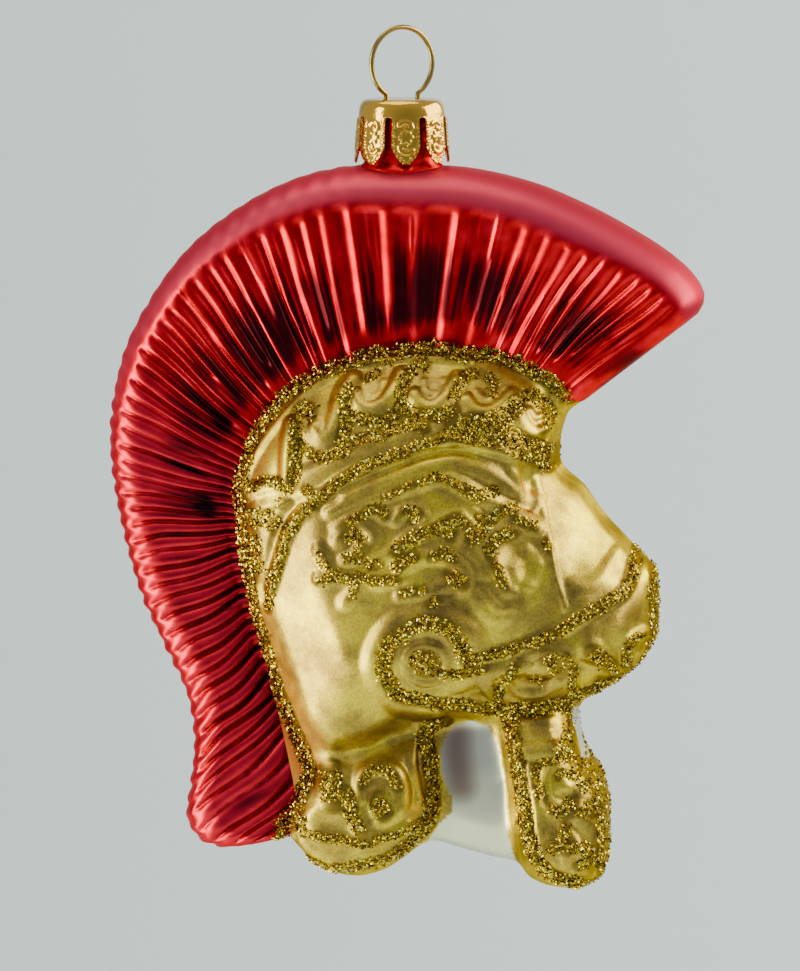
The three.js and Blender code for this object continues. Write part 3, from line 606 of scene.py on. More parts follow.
link(gold, colour.outputs[2], shader.inputs["Base Color"])
link(gold, gloss.outputs[0], shader.inputs["Roughness"])
link(gold, bumps.outputs["Normal"], shader.inputs["Normal"])
link(gold, edge_colour.outputs[2], shader.inputs["Specular Tint"])
shader.inputs["Metallic"].default_value = 1
helmet.data.materials.clear()
helmet.data.materials.append(gold)
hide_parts("glass_body")
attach(helmet, "root")


# The crest is the upper part of the same glass body: a plume of stiff hair, with a rounded rim that
# wrinkles towards the back, and uneven ribs on both sides. Clear red lacquer lies over the silvering.
CREST_RIM_HALF = 9.9
CREST_FOOT_HALF = 7.5
CREST_RIM_DEPTH = 5.5
CREST_END_DEPTH = 4.0
CREST_END_SHARE = 0.25
CREST_FOOT_SINK = {"rows": [0, 2.5, 18, 21, 26, 27], "depths": [1.0, 3.2, 3.2, 4.6, 4.6, 3.2]}
CREST_SECTIONS = 700
CREST_SIDE_ROWS = 44
CREST_ROUND_ROWS = 16
CREST_WALL_SLOPE = 1.2
RIM_LUMP_PITCH = 2.45
RIM_LUMP_HEIGHT = 0.16
RIM_FOLD_PITCH = 3.3
RIM_FOLD_HEIGHT = 0.12
GROOVE_STARTS = [-0.2, 0.04, 0.12, 0.3]
GROOVE_START_ODDS = [0.55, 0.2, 0.15, 0.1]
FINE_LINES = 70
FINE_LINE_HEIGHT = 0.12

# How the ribs change from the front tip over the top to the lower back. row counts the rib rows
# above. band, pitch, depth, sway and lean are millimetres, groove is the share of the pitch that is
# pressed in, and painted_shade is how strongly painted shade and painted dark reflections darken the red.
RIB_ZONES = {
    "row": [0, 3, 5, 6, 8, 9.5, 11.5, 13, 16, 19, 22, 25, 27],
    "band": [3.2, 4.0, 5.0, 5.0, 5.0, 4.8, 4.2, 3.2, 1.9, 1.5, 1.6, 2.2, 2.9],
    "pitch": [2.6, 2.9, 3.2, 6.0, 5.2, 3.8, 3.3, 2.5, 2.5, 2.6, 2.7, 2.7, 2.6],
    "groove": [0.5, 0.58, 0.66, 0.86, 0.82, 0.7, 0.6, 0.5, 0.46, 0.44, 0.42, 0.42, 0.4],
    "depth": [0.5, 0.6, 0.6, 0.55, 0.55, 0.6, 0.6, 0.6, 0.8, 1.0, 1.1, 1.0, 0.6],
    "sway": [0.3, 0.5, 0.3, 0.0, 0.0, 0.2, 0.3, 0.5, 0.3, 0.5, 0.6, 0.5, 0.3],
    "lean": [0, 0, 0, 0, 0, 0, 0, -0.5, -1.5, -3.4, -4.4, -4.4, -2.4],
    "painted_shade": [0.8, 0.7, 0.9, 1, 1, 0.9, 0.8, 0.9, 0.7, 0.2, 0.0, 0.0, 0.2],
}

chance = np.random.default_rng(11)
rim = np.array([rib["rim"] for rib in CREST_RIBS], float)
fine_rows = np.linspace(0, len(rim) - 1, 4000)
rim_run = np.concatenate([
    [0], np.cumsum(np.linalg.norm(np.diff(spline(rim, fine_rows), axis=0), axis=1)),
])
ends = np.array([0, 0.1, 0.35, 0.7]) * CREST_END_DEPTH
marks = np.concatenate([
    ends, np.linspace(CREST_END_DEPTH, rim_run[-1] - CREST_END_DEPTH, CREST_SECTIONS),
    (rim_run[-1] - ends)[::-1],
])
rows = np.interp(marks, rim_run, fine_rows)
outer = spline(rim, rows)
inner = spline(foot, rows)
arms = outer - inner
reaches = np.linalg.norm(arms, axis=1)
arms /= reaches[:, None]


def zone(column, at_rows):
    return np.interp(at_rows, RIB_ZONES["row"], RIB_ZONES[column])


# Half a section, from the foot out to the middle of the rim.
side_share = np.linspace(0, 1, CREST_SIDE_ROWS)
round_turn = np.linspace(0, 1, CREST_ROUND_ROWS + 1)[1:] * math.pi / 2
side_length = (reaches - CREST_RIM_DEPTH)[:, None]
sink = np.interp(rows, CREST_FOOT_SINK["rows"], CREST_FOOT_SINK["depths"])[:, None]
out = np.concatenate([
    -sink + side_share * (side_length + sink),
    side_length + CREST_RIM_DEPTH * np.sin(round_turn) ** 0.8,
], axis=1)
swell = np.clip(out[:, :CREST_SIDE_ROWS] / side_length, 0, 1) ** 0.85
half = np.concatenate([
    CREST_FOOT_HALF + (CREST_RIM_HALF - CREST_FOOT_HALF) * swell,
    np.broadcast_to(CREST_RIM_HALF * np.clip(np.cos(round_turn), 0, 1) ** 0.8,
                    (len(marks), CREST_ROUND_ROWS)),
], axis=1)
to_end = np.minimum(np.minimum(marks, rim_run[-1] - marks), CREST_END_DEPTH) / CREST_END_DEPTH
narrowing = CREST_END_SHARE + (1 - CREST_END_SHARE) * np.sqrt(1 - (1 - to_end) ** 2)


def rib_grooves():
    """Where the grooves between the ribs run, and how far and how deep each one goes."""
    at = CREST_END_DEPTH * 0.9
    while at < rim_run[-1] - CREST_END_DEPTH:
        row = np.interp(at, rim_run, fine_rows)
        evenness = soft_step(row, 13, 17)
        pitch = zone("pitch", row) * (1 + (1 - 0.6 * evenness) * chance.uniform(-0.18, 0.2))
        yield {
            "at": at + pitch / 2, "row": row, "pitch": pitch,
            "start": chance.choice(GROOVE_STARTS, p=GROOVE_START_ODDS) if row < 14 else -0.3,
            "edge": chance.uniform(-0.35, 0.7), "lean": (1 - 0.7 * evenness) * chance.uniform(-0.5, 0.5),
            "depth": chance.uniform(0.8, 1.15), "phase": chance.uniform(-0.12, 0.12),
            "width": chance.uniform(0.85, 1.1),
        }
        at += pitch


def groove_depths():
    """How deep the skin of one side is pressed in at each place of the half section."""
    share = np.clip(out / reaches[:, None], 0, 1)
    inner_run = np.concatenate([[0], np.cumsum(np.linalg.norm(np.diff(inner, axis=0), axis=1))])
    outer_run = np.concatenate([[0], np.cumsum(np.linalg.norm(np.diff(outer, axis=0), axis=1))])
    tightness = np.clip(np.gradient(inner_run) / np.gradient(outer_run), 0.2, 1.2)[:, None]
    scale = tightness + (1 - tightness) * share
    depths = np.zeros(out.shape)
    for groove in rib_grooves():
        near = np.abs(marks - groove["at"]) < 2.5 * groove["pitch"] + 5
        bend = zone("sway", groove["row"]) * np.sin(2 * math.pi * (share[near] + groove["phase"]))
        lean = zone("lean", groove["row"]) + groove["lean"]
        centre = groove["at"] + lean * (1 - share[near]) + bend
        gap = np.abs(marks[near][:, None] - centre) * scale[near]
        half_width = 0.5 * groove["pitch"] * zone("groove", groove["row"]) * groove["width"] * scale[near]
        slope = np.minimum(CREST_WALL_SLOPE, half_width)
        across = soft_step(half_width + slope / 2 - gap, 0, slope * 1.6)
        hollow = np.clip(1 - gap / (0.5 * groove["pitch"] * scale[near]), 0, 1)
        rounding = soft_step(groove["row"], 12.5, 16)
        across += rounding * (1.25 * (1 - np.sqrt(1 - 0.95 * hollow ** 2)) - across)
        band = zone("band", groove["row"]) + groove["edge"]
        up = soft_step(reaches[near][:, None] - band - out[near], 0, 0.9)
        down = soft_step(share[near], groove["start"], groove["start"] + 0.12)
        depth = zone("depth", groove["row"]) * groove["depth"]
        depths[near] = np.maximum(depths[near], depth * across * up * down)
    return depths


def fine_lines():
    """Thin raised lines of lacquer and glass that follow the ribs."""
    height = np.zeros(out.shape)
    share = np.clip(out / reaches[:, None], 0, 1)
    for _ in range(FINE_LINES):
        at = chance.uniform(6, 0.62 * rim_run[-1])
        start = chance.uniform(0.05, 0.6)
        end = start + chance.uniform(0.15, 0.4)
        near = np.abs(marks - at) < 3
        centre = at + chance.uniform(-0.8, 0.8) * (share[near] - 0.5)
        across = np.exp(-((marks[near][:, None] - centre) / chance.uniform(0.12, 0.25)) ** 2)
        fade = soft_step(share[near], start, start + 0.08) * (1 - soft_step(share[near], end - 0.08, end))
        height[near] = np.maximum(height[near], FINE_LINE_HEIGHT * across * fade)
    return height


def blotches(pitch, columns):
    """Random values from 0 to 1 on a coarse net along the rim and up the ribs, blended in between."""
    net = chance.uniform(0, 1, (int(rim_run[-1] / pitch) + 3, columns + 2))
    along = np.broadcast_to(marks[:, None] / pitch, out.shape)
    up = np.clip(out / reaches[:, None], 0, 1) * columns
    i, j = along.astype(int), up.astype(int)
    a, b = soft_step(along - i, 0, 1), soft_step(up - j, 0, 1)
    low = net[i, j] * (1 - b) + net[i, j + 1] * b
    high = net[i + 1, j] * (1 - b) + net[i + 1, j + 1] * b
    return low * (1 - a) + high * a


def painted_shade_streaks(pressed):
    """Painted shade and painted dark reflections on the red: nearly black streaks above the foot, darker
    at the bottom of grooves, and darker towards the foot at the lower back.
    """
    share = np.clip(out / reaches[:, None], 0, 1)
    amount = zone("painted_shade", rows)[:, None]
    belly = soft_step(share, 0.02, 0.16) * (1 - soft_step(share, 0.38, 0.78))
    middling = blotches(1.9, 3)
    uneven = 0.46 * blotches(0.55, 2) + 0.32 * middling + 0.22 * blotches(8, 2)
    streak = soft_step(uneven + 0.4 * belly * amount, 0.6, 0.92) * np.sqrt(belly)
    # Painted shade at the bottom of the grooves.
    groove_shade = np.clip(pressed / 0.85, 0, 1) ** 1.5 * (0.6 + 0.6 * middling) * (1 - 0.6 * share)
    shade = 0.25 * soft_step(rows, 13, 17)[:, None] * (1 - soft_step(share, 0.05, 0.5))
    return np.clip(np.maximum(0.95 * streak, groove_shade) + shade, 0, 1)


below_band = reaches[:, None] - zone("band", rows)[:, None]
side_rings = {}
side_painted_shade = {}
for side in (-1, 1):
    pressed = groove_depths() - fine_lines()
    pressed *= soft_step(below_band - out, -0.6, 0.2)
    side_painted_shade[side] = painted_shade_streaks(pressed)
    lumps = np.cos(2 * math.pi * marks / RIM_LUMP_PITCH) - 1
    lumps = (RIM_LUMP_HEIGHT * lumps * soft_step(rows, 13, 16))[:, None]
    over_rim = np.clip((out - below_band) / (reaches[:, None] - below_band), 0, 1)
    folds = np.sin(2 * math.pi * marks[:, None] / RIM_FOLD_PITCH + 2.5 * side * (1 - over_rim)) - 1
    wrinkled = RIM_FOLD_HEIGHT * soft_step(rows, 7, 10)[:, None]
    folds *= wrinkled * blotches(6, 2) * soft_step(over_rim, 0.1, 0.4)
    run_out = np.gradient(out, axis=1)
    run_half = np.gradient(half, axis=1)
    length = np.hypot(run_out, run_half)
    place_out = out + pressed * run_half / length + lumps * soft_step(out, 0, reaches[:, None])
    place_out += folds
    dents = 0.1 * blotches(2.2, 3) * soft_step(out - below_band, 0, 2)
    place_half = half - pressed * run_out / length - dents
    flat_places = inner[:, None, :] + arms[:, None, :] * place_out[..., None]
    side_rings[side] = np.stack([
        flat_places[..., 0], side * place_half * narrowing[:, None], flat_places[..., 1],
    ], axis=-1)
rings = np.concatenate([side_rings[-1], side_rings[1][:, -2::-1]], axis=1)
painted_shade = np.concatenate([side_painted_shade[-1], side_painted_shade[1][:, -2::-1]], axis=1)
# Near the rim the red is rougher, and a paler pink is painted there as a sheen.
near_rim = soft_step(out - below_band, -0.5, 1.5)
near_rim = np.maximum(near_rim, 0.35 * soft_step(rows, 12, 16)[:, None])
near_rim = np.concatenate([near_rim, near_rim[:, -2::-1]], axis=1)

ring_size = rings.shape[1]
corner = np.arange(rings.shape[0] * ring_size).reshape(rings.shape[:2])
following = np.roll(corner, -1, axis=1)
quads = np.stack([corner[:-1], following[:-1], following[1:], corner[1:]], axis=-1).reshape(-1, 4)
points = np.concatenate([rings.reshape(-1, 3), [rings[0].mean(0)], [rings[-1].mean(0)]]) * MM
first_cap, last_cap = len(points) - 2, len(points) - 1
caps = [(first_cap, int(b), int(a)) for a, b in zip(corner[0], following[0])]
caps += [(last_cap, int(a), int(b)) for a, b in zip(corner[-1], following[-1])]
crest_mesh = bpy.data.meshes.new("crest_glass")
crest_mesh.from_pydata(points.tolist(), [], quads.tolist() + caps)
crest = bpy.data.objects.new("crest_glass", crest_mesh)
bpy.context.collection.objects.link(crest)
only(crest)
bpy.ops.object.mode_set(mode="EDIT")
bpy.ops.mesh.select_all(action="SELECT")
bpy.ops.mesh.normals_make_consistent(inside=False)
bpy.ops.object.mode_set(mode="OBJECT")
bpy.ops.object.shade_smooth()
mark_vertices(crest, "painted_shade", np.append(painted_shade.ravel(), [0, 0]))
mark_vertices(crest, "rim", np.append(near_rim.ravel(), [0, 0]))

# Red lacquer is thin and clear over the silver, bright red in the light. Painted shade and painted dark
# reflections make it nearly black in streaks above the foot and in the grooves. The rim is rougher and
# satin, and a paler pink is painted on it as a sheen.
LACQUER_FLOW_SIZE = 3 * MM
red, shader = new_material("clear_red_lacquer_on_silvered_glass")
place = add_node(red, "ShaderNodeTexCoord").outputs["Object"]
flow = add_node(red, "ShaderNodeTexNoise", {
    "Vector": place, "Scale": 1 / LACQUER_FLOW_SIZE, "Detail": 3.0,
})
tint = ramp(red, flow.outputs["Fac"], [(0.3, "#c20414"), (0.5, "#e0081c"), (0.7, "#f81430")])
rim_satin_and_sheen = add_node(red, "ShaderNodeAttribute", attribute_name="rim").outputs["Fac"]
# A paler pink is painted on the rim as a sheen.
painted_rim_sheen = add_node(red, "ShaderNodeMix", {
    "Factor": rim_satin_and_sheen, 6: tint, 7: linear("#c83c56"),
}, data_type="RGBA")
painted_shade_share = add_node(red, "ShaderNodeAttribute", attribute_name="painted_shade").outputs["Fac"]
# Painted shade and painted dark reflections mix the red towards nearly black.
colour = add_node(red, "ShaderNodeMix", {
    "Factor": painted_shade_share, 6: painted_rim_sheen.outputs[2], 7: linear("#240610"),
}, data_type="RGBA")
gloss = add_node(red, "ShaderNodeMix", {"Factor": rim_satin_and_sheen, 2: 0.3, 3: 0.5})
link(red, colour.outputs[2], shader.inputs["Base Color"])
link(red, gloss.outputs[0], shader.inputs["Roughness"])
shader.inputs["Metallic"].default_value = 1
shader.inputs["Specular Tint"].default_value = linear("#dc4a58")
shader.inputs["Coat Weight"].default_value = 0.06
shader.inputs["Coat Roughness"].default_value = 0.1
crest.data.materials.append(red)
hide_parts("glass_body")
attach(crest, "root")


# The neck of the glass body stands on the crest, and most of it is inside the cap. It is drawn out of
# the same glass, open at the top and flared below, and dipped in the same red lacquer.
NECK_PROFILE = [
    (4.4, -12.4), (5.0, -12.2), (5.2, -12.6), (5.2, -18.2), (5.45, -18.9), (6.1, -19.4), (6.5, -20.3),
    (6.6, -21.6), (4.4, -21.6),
]


def spun(name, profile, steps):
    """A profile of radius and height in millimetres, spun once around the hanging axis."""
    mesh = bpy.data.meshes.new(name)
    count = len(profile)
    mesh.from_pydata([(radius * MM, 0, z * MM) for radius, z in profile],
                     [(i, (i + 1) % count) for i in range(count)], [])
    piece = bpy.data.objects.new(name, mesh)
    bpy.context.collection.objects.link(piece)
    only(piece)
    bpy.ops.object.mode_set(mode="EDIT")
    bpy.ops.mesh.select_all(action="SELECT")
    bpy.ops.mesh.spin(steps=steps, angle=2 * math.pi, center=(0, 0, 0), axis=(0, 0, 1))
    bpy.ops.mesh.select_all(action="SELECT")
    bpy.ops.mesh.remove_doubles(threshold=WELD)
    bpy.ops.mesh.normals_make_consistent(inside=False)
    bpy.ops.object.mode_set(mode="OBJECT")
    bpy.ops.object.shade_smooth_by_angle(angle=math.radians(50))
    return piece


neck = spun("glass_neck", NECK_PROFILE, 72)
neck.data.materials.append(red)
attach(neck, "root")


# Glitter: small cut flakes of metallised film, strewn on lines of clear glue that were drawn along
# the relief by hand, on both sides alike.
# Half width in millimetres, how fully the flakes cover it, and route in side view.
GLITTER_LINES = {
    "crest line": (1, 1, [
        (-21.4, -61.7), (-20.4, -58.5), (-19.4, -56), (-18, -53.9), (-16.5, -52.1), (-14.9, -50.6),
        (-12.7, -49.1), (-9.9, -47.6), (-6.3, -46.3), (-2.1, -45.3), (2.1, -44.7), (6.3, -44.7),
        (10.4, -45.1), (14.5, -45.6), (16.9, -46.8), (19.7, -48), (21.8, -49.3), (23.1, -50.7),
        (24.5, -51.6),
    ]),
    "back crest line": (1.15, 1, [
        (-21.4, -61.7), (-21.7, -64.5), (-21.9, -68.2), (-21.4, -71.7), (-21, -75.2), (-20.5, -78.9),
        (-19.9, -82.5), (-18.9, -86.1), (-18.1, -89.3), (-17, -92.6), (-15.8, -95.4), (-14.6, -98.1),
        (-13.5, -100.6), (-12.6, -103.1), (-12.1, -105.3), (-13, -107.7), (-14.5, -110.1), (-16.2, -113),
        (-17.2, -114.8),
    ]),
    "neck border": (1, 1, [
        (-17.2, -114.8), (-15, -116.3), (-12.4, -117.9), (-9.4, -119), (-5.6, -118.4), (-1.7, -117.4),
        (1.2, -115.7), (3.5, -113.7), (5.2, -110.6), (5.2, -107.9), (4.9, -104.3), (4.7, -101.4),
        (4.1, -99.8), (5.2, -98), (7.1, -97.4),
    ]),
    "neck inner line": (0.65, 0.9, [
        (-13.4, -113.4), (-10.3, -113.6), (-6.7, -114.2), (-3.9, -114.5), (-1.1, -113.7), (1.6, -112.9),
        (3.8, -111.7),
    ]),
    "neck blob": (1.7, 0.95, [(-9, -104.2), (-8.3, -108.4)]),
    "neck blob 2": (1, 0.9, [
        (-6.7, -106.9), (-5.7, -108.2), (-5.7, -109.9), (-5.1, -111.8), (-4.3, -112.8),
    ]),
    "neck ring": (0.7, 0.9, [
        (-4.3, -106.1), (-3.5, -104.3), (-1.8, -103.6), (-0.1, -104.5), (0.9, -106.5),
    ]),
    "neck ring blob": (1.3, 0.9, [(-2.2, -107.9), (-1.2, -110.2)]),
    "neck back curl": (0.8, 0.9, [(-13, -110.8), (-13.3, -112.3), (-13.7, -113.4)]),
    "brow bottom line": (1, 1, [
        (36.4, -86.6), (35.6, -89), (33.6, -91.2), (31.1, -91.7), (27.6, -93.2), (25.1, -94),
    ]),
    "brow right edge": (0.55, 1, [
        (35.9, -75.2), (36.3, -77.8), (36.3, -81.3), (36.4, -84.3), (36.4, -86.6),
    ]),
    "under brow line": (1.1, 1, [
        (25.1, -94.3), (22, -95), (17.8, -95.5), (13.7, -95.3), (10.2, -94.7), (6.9, -94.1), (4, -93.5),
        (1.4, -92.8), (0.2, -91.2), (-0.4, -89.2), (-0.2, -86.5), (0.7, -84.5), (2.4, -83), (4.6, -82),
        (6.6, -81.8), (8.5, -82.6), (9.9, -84.6), (10.8, -86.6), (11.4, -87.7),
    ]),
    "brow top line": (0.8, 1, [
        (33.7, -72.9), (34, -74.9), (33.6, -76.7), (32.5, -78.6), (30.4, -79.7), (27.9, -81.1),
        (25.2, -82.5), (21.7, -84.5), (17.6, -85.8), (13.4, -86.9), (10.7, -87.4),
    ]),
    "volute blob": (1.2, 1, [
        (5.2, -86.9), (6, -87.4), (6, -88.2), (5.2, -88.7), (4.4, -88.2), (4.4, -87.4), (5.2, -86.9),
    ]),
    "volute bottom": (0.7, 0.9, [(6.9, -89.1), (8.8, -89.6), (11, -89.3), (13.4, -88.6)]),
    "cartouche left": (0.7, 0.9, [(14.9, -93.9), (15.3, -91.8), (16.6, -90.2), (17.9, -88.4)]),
    "cartouche blob": (1.2, 0.7, [(22.1, -87.1), (23.1, -88.2), (23.7, -89.5)]),
    "cartouche low": (0.6, 0.7, [(19.5, -90.4), (21.6, -91.4)]),
    "cartouche right": (0.55, 0.9, [(24.7, -86.9), (25.6, -89), (25.4, -91.2), (24.9, -94)]),
    "brow blob": (1.25, 0.95, [(28.3, -86.6), (30.4, -88.8)]),
    "brow blob tail": (0.6, 0.9, [(30.3, -88.7), (31.1, -90.6)]),
    "brow curl": (0.7, 0.95, [(34.9, -84.6), (33.9, -85.5), (33, -86.9), (32.7, -89.5)]),
    "cheek back line": (1.2, 1, [
        (15.9, -95.7), (16.8, -99), (17.4, -102.4), (18, -106), (18.6, -109.5), (19.1, -113.1),
        (20.1, -116), (21.9, -118.7), (24.3, -120), (27.2, -121.6), (29.2, -121.2), (29.8, -119),
        (29.9, -114.3), (29.8, -109.8), (29.2, -107.8), (28.1, -105.3),
    ]),
    "cheek front line": (0.7, 1, [
        (24.1, -95.1), (24.4, -98.1), (24.8, -101.5), (25.6, -103.2), (27.1, -104.2), (28.3, -105.3),
    ]),
    "cheek bar line": (0.6, 0.85, [
        (23.1, -99.9), (24.3, -100.9), (24.6, -102.2), (23.1, -102.3), (21.1, -102.6), (20.2, -103.7),
        (20.9, -105.8),
    ]),
    "cheek scroll": (0.7, 0.9, [
        (23.4, -104.6), (24.3, -103.9), (25.6, -104.8), (26.9, -106.2), (27.7, -107),
    ]),
    "cheek blob 1": (0.9, 0.9, [(20.6, -106.2), (21.2, -107.6)]),
    "cheek blob 2": (1.3, 0.9, [(26.6, -109), (27.9, -109.9)]),
    "cheek mid": (0.9, 0.85, [(22, -109.1), (23.7, -109.7), (24.8, -108.8), (25.4, -108)]),
    "cheek low": (0.9, 0.85, [(24.3, -111.4), (24.5, -113), (23.7, -114.9), (22, -114.6)]),
    "cheek ring": (0.8, 0.9, [
        (24.8, -115.4), (26.2, -114.6), (27.5, -115.4), (27.5, -117.2), (26.1, -117.7),
    ]),
    "diadem left": (0.8, 0.95, [
        (-21.1, -64.5), (-18.6, -63.2), (-17, -62.5), (-15.2, -62.8), (-14.4, -63.7), (-13.5, -63.4),
    ]),
    "diadem lower": (0.75, 1, [
        (-11.9, -63.4), (-10.7, -64.2), (-9.5, -65), (-8.4, -63.4), (-7, -62.3), (-4.9, -60.8),
        (-2.7, -59.7), (-0.3, -59.1), (2, -58), (4.5, -57.1), (7, -56.3), (9.3, -55.2), (10.5, -54.6),
    ]),
    "holder patch": (1.7, 1, [
        (9.2, -54.8), (11.9, -55.4), (14.7, -55.8), (17.4, -56.9), (19.6, -58.3), (21.4, -59.7),
    ]),
    "holder patch 2": (1.3, 1, [(11.2, -53.8), (14, -53.8), (16.3, -52.9), (17.6, -51.7)]),
    "holder patch tip": (0.9, 1, [(20.6, -60.2), (21.9, -61.3)]),
    "waves lower line": (0.8, 0.95, [
        (-12.7, -57.4), (-10.9, -58.4), (-9.4, -59.1), (-7.6, -58.5), (-5.7, -57.4), (-3.8, -56.3),
        (-1.5, -56), (0.8, -54.8), (3.2, -54.3), (5.2, -54.8),
    ]),
    "wave 1 line": (0.9, 1, [
        (-13.8, -62.6), (-13.2, -60.3), (-13.3, -57.5), (-13.4, -55.3), (-13.9, -54),
    ]),
    "wave 1 curl": (0.9, 0.95, [(-13.6, -53.2), (-12.7, -52.4), (-11.2, -52.8), (-12, -53.9)]),
    "wave 2 line": (0.9, 1, [
        (-6.4, -58.2), (-6.6, -56.3), (-6.2, -53.9), (-6.3, -51.9), (-5.9, -50.2), (-5.1, -49.2),
    ]),
    "wave 2 curl": (0.6, 0.85, [(-4.3, -48.6), (-3, -47.8), (-1.6, -47.5)]),
    "wave 2 foot": (0.9, 0.95, [(-5.3, -53.2), (-3.9, -53.6), (-2, -54.1), (-0.2, -53.8), (0.9, -52.8)]),
    "wave 3 line": (0.9, 1, [(1.4, -52.7), (1.9, -51.1), (1.7, -49.5), (2, -48), (2.9, -47.1)]),
    "wave 3 curl": (0.7, 0.95, [(2.9, -47), (3.7, -46.3), (4.8, -46.7), (4.1, -47.4)]),
    "wave 3 foot": (0.9, 0.95, [(2.1, -52.6), (4.2, -52.8), (5.9, -53.2), (8, -53.1), (9.2, -52.3)]),
    "wave 4 line": (0.75, 1, [(9, -51.1), (8.8, -49.8), (9.5, -48.5), (10.5, -47.7), (11.9, -47.8)]),
    "wave 4 curl": (0.7, 0.95, [(12.8, -48.1), (13.8, -48.7), (14, -49.7), (13.4, -50.2)]),
    "wave 5 line": (0.8, 1, [
        (16.8, -52.6), (17.6, -51.7), (18.6, -50.9), (19.8, -51), (20.9, -51.9), (21.7, -53.1),
        (21.7, -54.2), (21.2, -55.5),
    ]),
    "back fill 1": (1.3, 0.95, [(-20.7, -68.7), (-19, -67.7), (-17, -68.2), (-16.1, -69.3)]),
    "back fill 2": (1.4, 0.95, [(-19.9, -70.5), (-19.2, -76.2)]),
    "back edge": (0.75, 0.95, [
        (-10.5, -65.4), (-11.8, -66.7), (-13, -67.8), (-14, -69.1), (-14.9, -70.9), (-15.2, -72.6),
        (-16.2, -75.3), (-17.1, -78.2), (-17.6, -81.3),
    ]),
    "back inner": (0.6, 0.7, [(-16.1, -65.8), (-15.2, -65.6)]),
    "lock 2": (0.55, 0.85, [
        (-0.5, -64.3), (1, -63.7), (2.8, -62.8), (4.8, -62.2), (7, -61.5), (8.7, -62), (10.1, -62.9),
    ]),
    "lock 2 front": (0.8, 0.95, [(10.3, -63), (11.7, -64), (12.8, -64.5), (13.8, -63.6), (15.2, -63.3)]),
    "lock 3": (0.6, 0.9, [(-6, -67.9), (-4.7, -67.2), (-2.8, -66.4), (-1.1, -66.1), (-0.5, -67.2)]),
    "lock 4": (0.7, 0.9, [(2.2, -66.2), (3.4, -66.1), (4.5, -66.6), (3.4, -67.5)]),
    "lock 5": (1.3, 0.8, [(-5.6, -69.2), (-3.4, -71.2)]),
    "lock 6": (0.9, 0.9, [
        (1.2, -71.9), (2.4, -70.5), (4.3, -69.7), (6.2, -69), (8.2, -67.7), (9.8, -67.2), (10.9, -68.2),
    ]),
    "lock 6 inner": (0.8, 0.8, [(7.6, -68.9), (9, -68.6), (8.7, -70)]),
    "lock 7": (0.6, 0.8, [
        (-10.5, -72.2), (-9.3, -73.3), (-8.4, -74.7), (-6, -75.8), (-4.6, -76.7), (-5.3, -78.4),
    ]),
    "lock 8": (0.7, 0.85, [(-6.3, -73.2), (-4.4, -72.9), (-2.1, -74), (-1, -73.4)]),
    "lock 9": (0.85, 0.9, [(1.1, -74.7), (2.4, -73), (3.9, -72.5)]),
    "lock 9 mid": (0.8, 0.85, [(6.3, -72.8), (7.9, -72.1), (9, -73.3)]),
    "lock 10": (0.65, 0.85, [(-10.2, -76.3), (-7.4, -75.8), (-3.6, -75.6), (-1, -75.9), (1.5, -76.1)]),
    "lock 11": (1.1, 0.9, [(8.8, -74.9), (10.4, -76.4)]),
    "lock 12": (0.6, 0.8, [(1.8, -78.1), (3.5, -77.6), (5.3, -77.1)]),
    "lock 13": (0.8, 0.95, [(6, -79.1), (6.9, -78.8)]),
    "lock 14": (0.75, 0.9, [(12.8, -66.8), (11.8, -70.3), (16.5, -65.6), (17.5, -66.7)]),
    "lock 14 tail": (0.6, 0.9, [(17.5, -67.5), (18.9, -68.4), (20.4, -68.9)]),
    "lock 15": (0.9, 0.9, [(14.5, -72.5), (14.6, -71.1), (15.5, -69.9), (17.2, -69.7)]),
    "lock 16": (0.65, 0.85, [(14.8, -73.4), (15.7, -75.1), (16.5, -77.1)]),
    "lock 20": (0.6, 0.9, [(21.7, -70.8), (22.4, -72.1)]),
}
FLAKE_RADIUS = (0.15, 0.28)
FLAKE_THICKNESS = 0.05
FLAKES_PER_MM2 = 19
FLAKE_TILT = 0.8
LINE_WAVER = 0.16
GLUE_HEIGHT = 0.22


def skin_of(piece):
    places = vertex_array(piece.data, "co") / MM
    return places, [tuple(face.vertices) for face in piece.data.polygons]


helmet_places, helmet_faces = skin_of(helmet)
glue = np.zeros(len(helmet_places))
for half_width, cover, route in GLITTER_LINES.values():
    near = nearness(route, 1.25 * half_width, helmet_places[:, [0, 2]])
    glue = np.maximum(glue, cover * soft_step(near, 0, 0.5))
mark_vertices(helmet, "glue", glue)
crest_places, crest_faces = skin_of(crest)
shift = len(helmet_places)
glass_skin = BVHTree.FromPolygons(
    np.concatenate([helmet_places, crest_places]).tolist(),
    helmet_faces + [tuple(c + shift for c in face) for face in crest_faces],
)


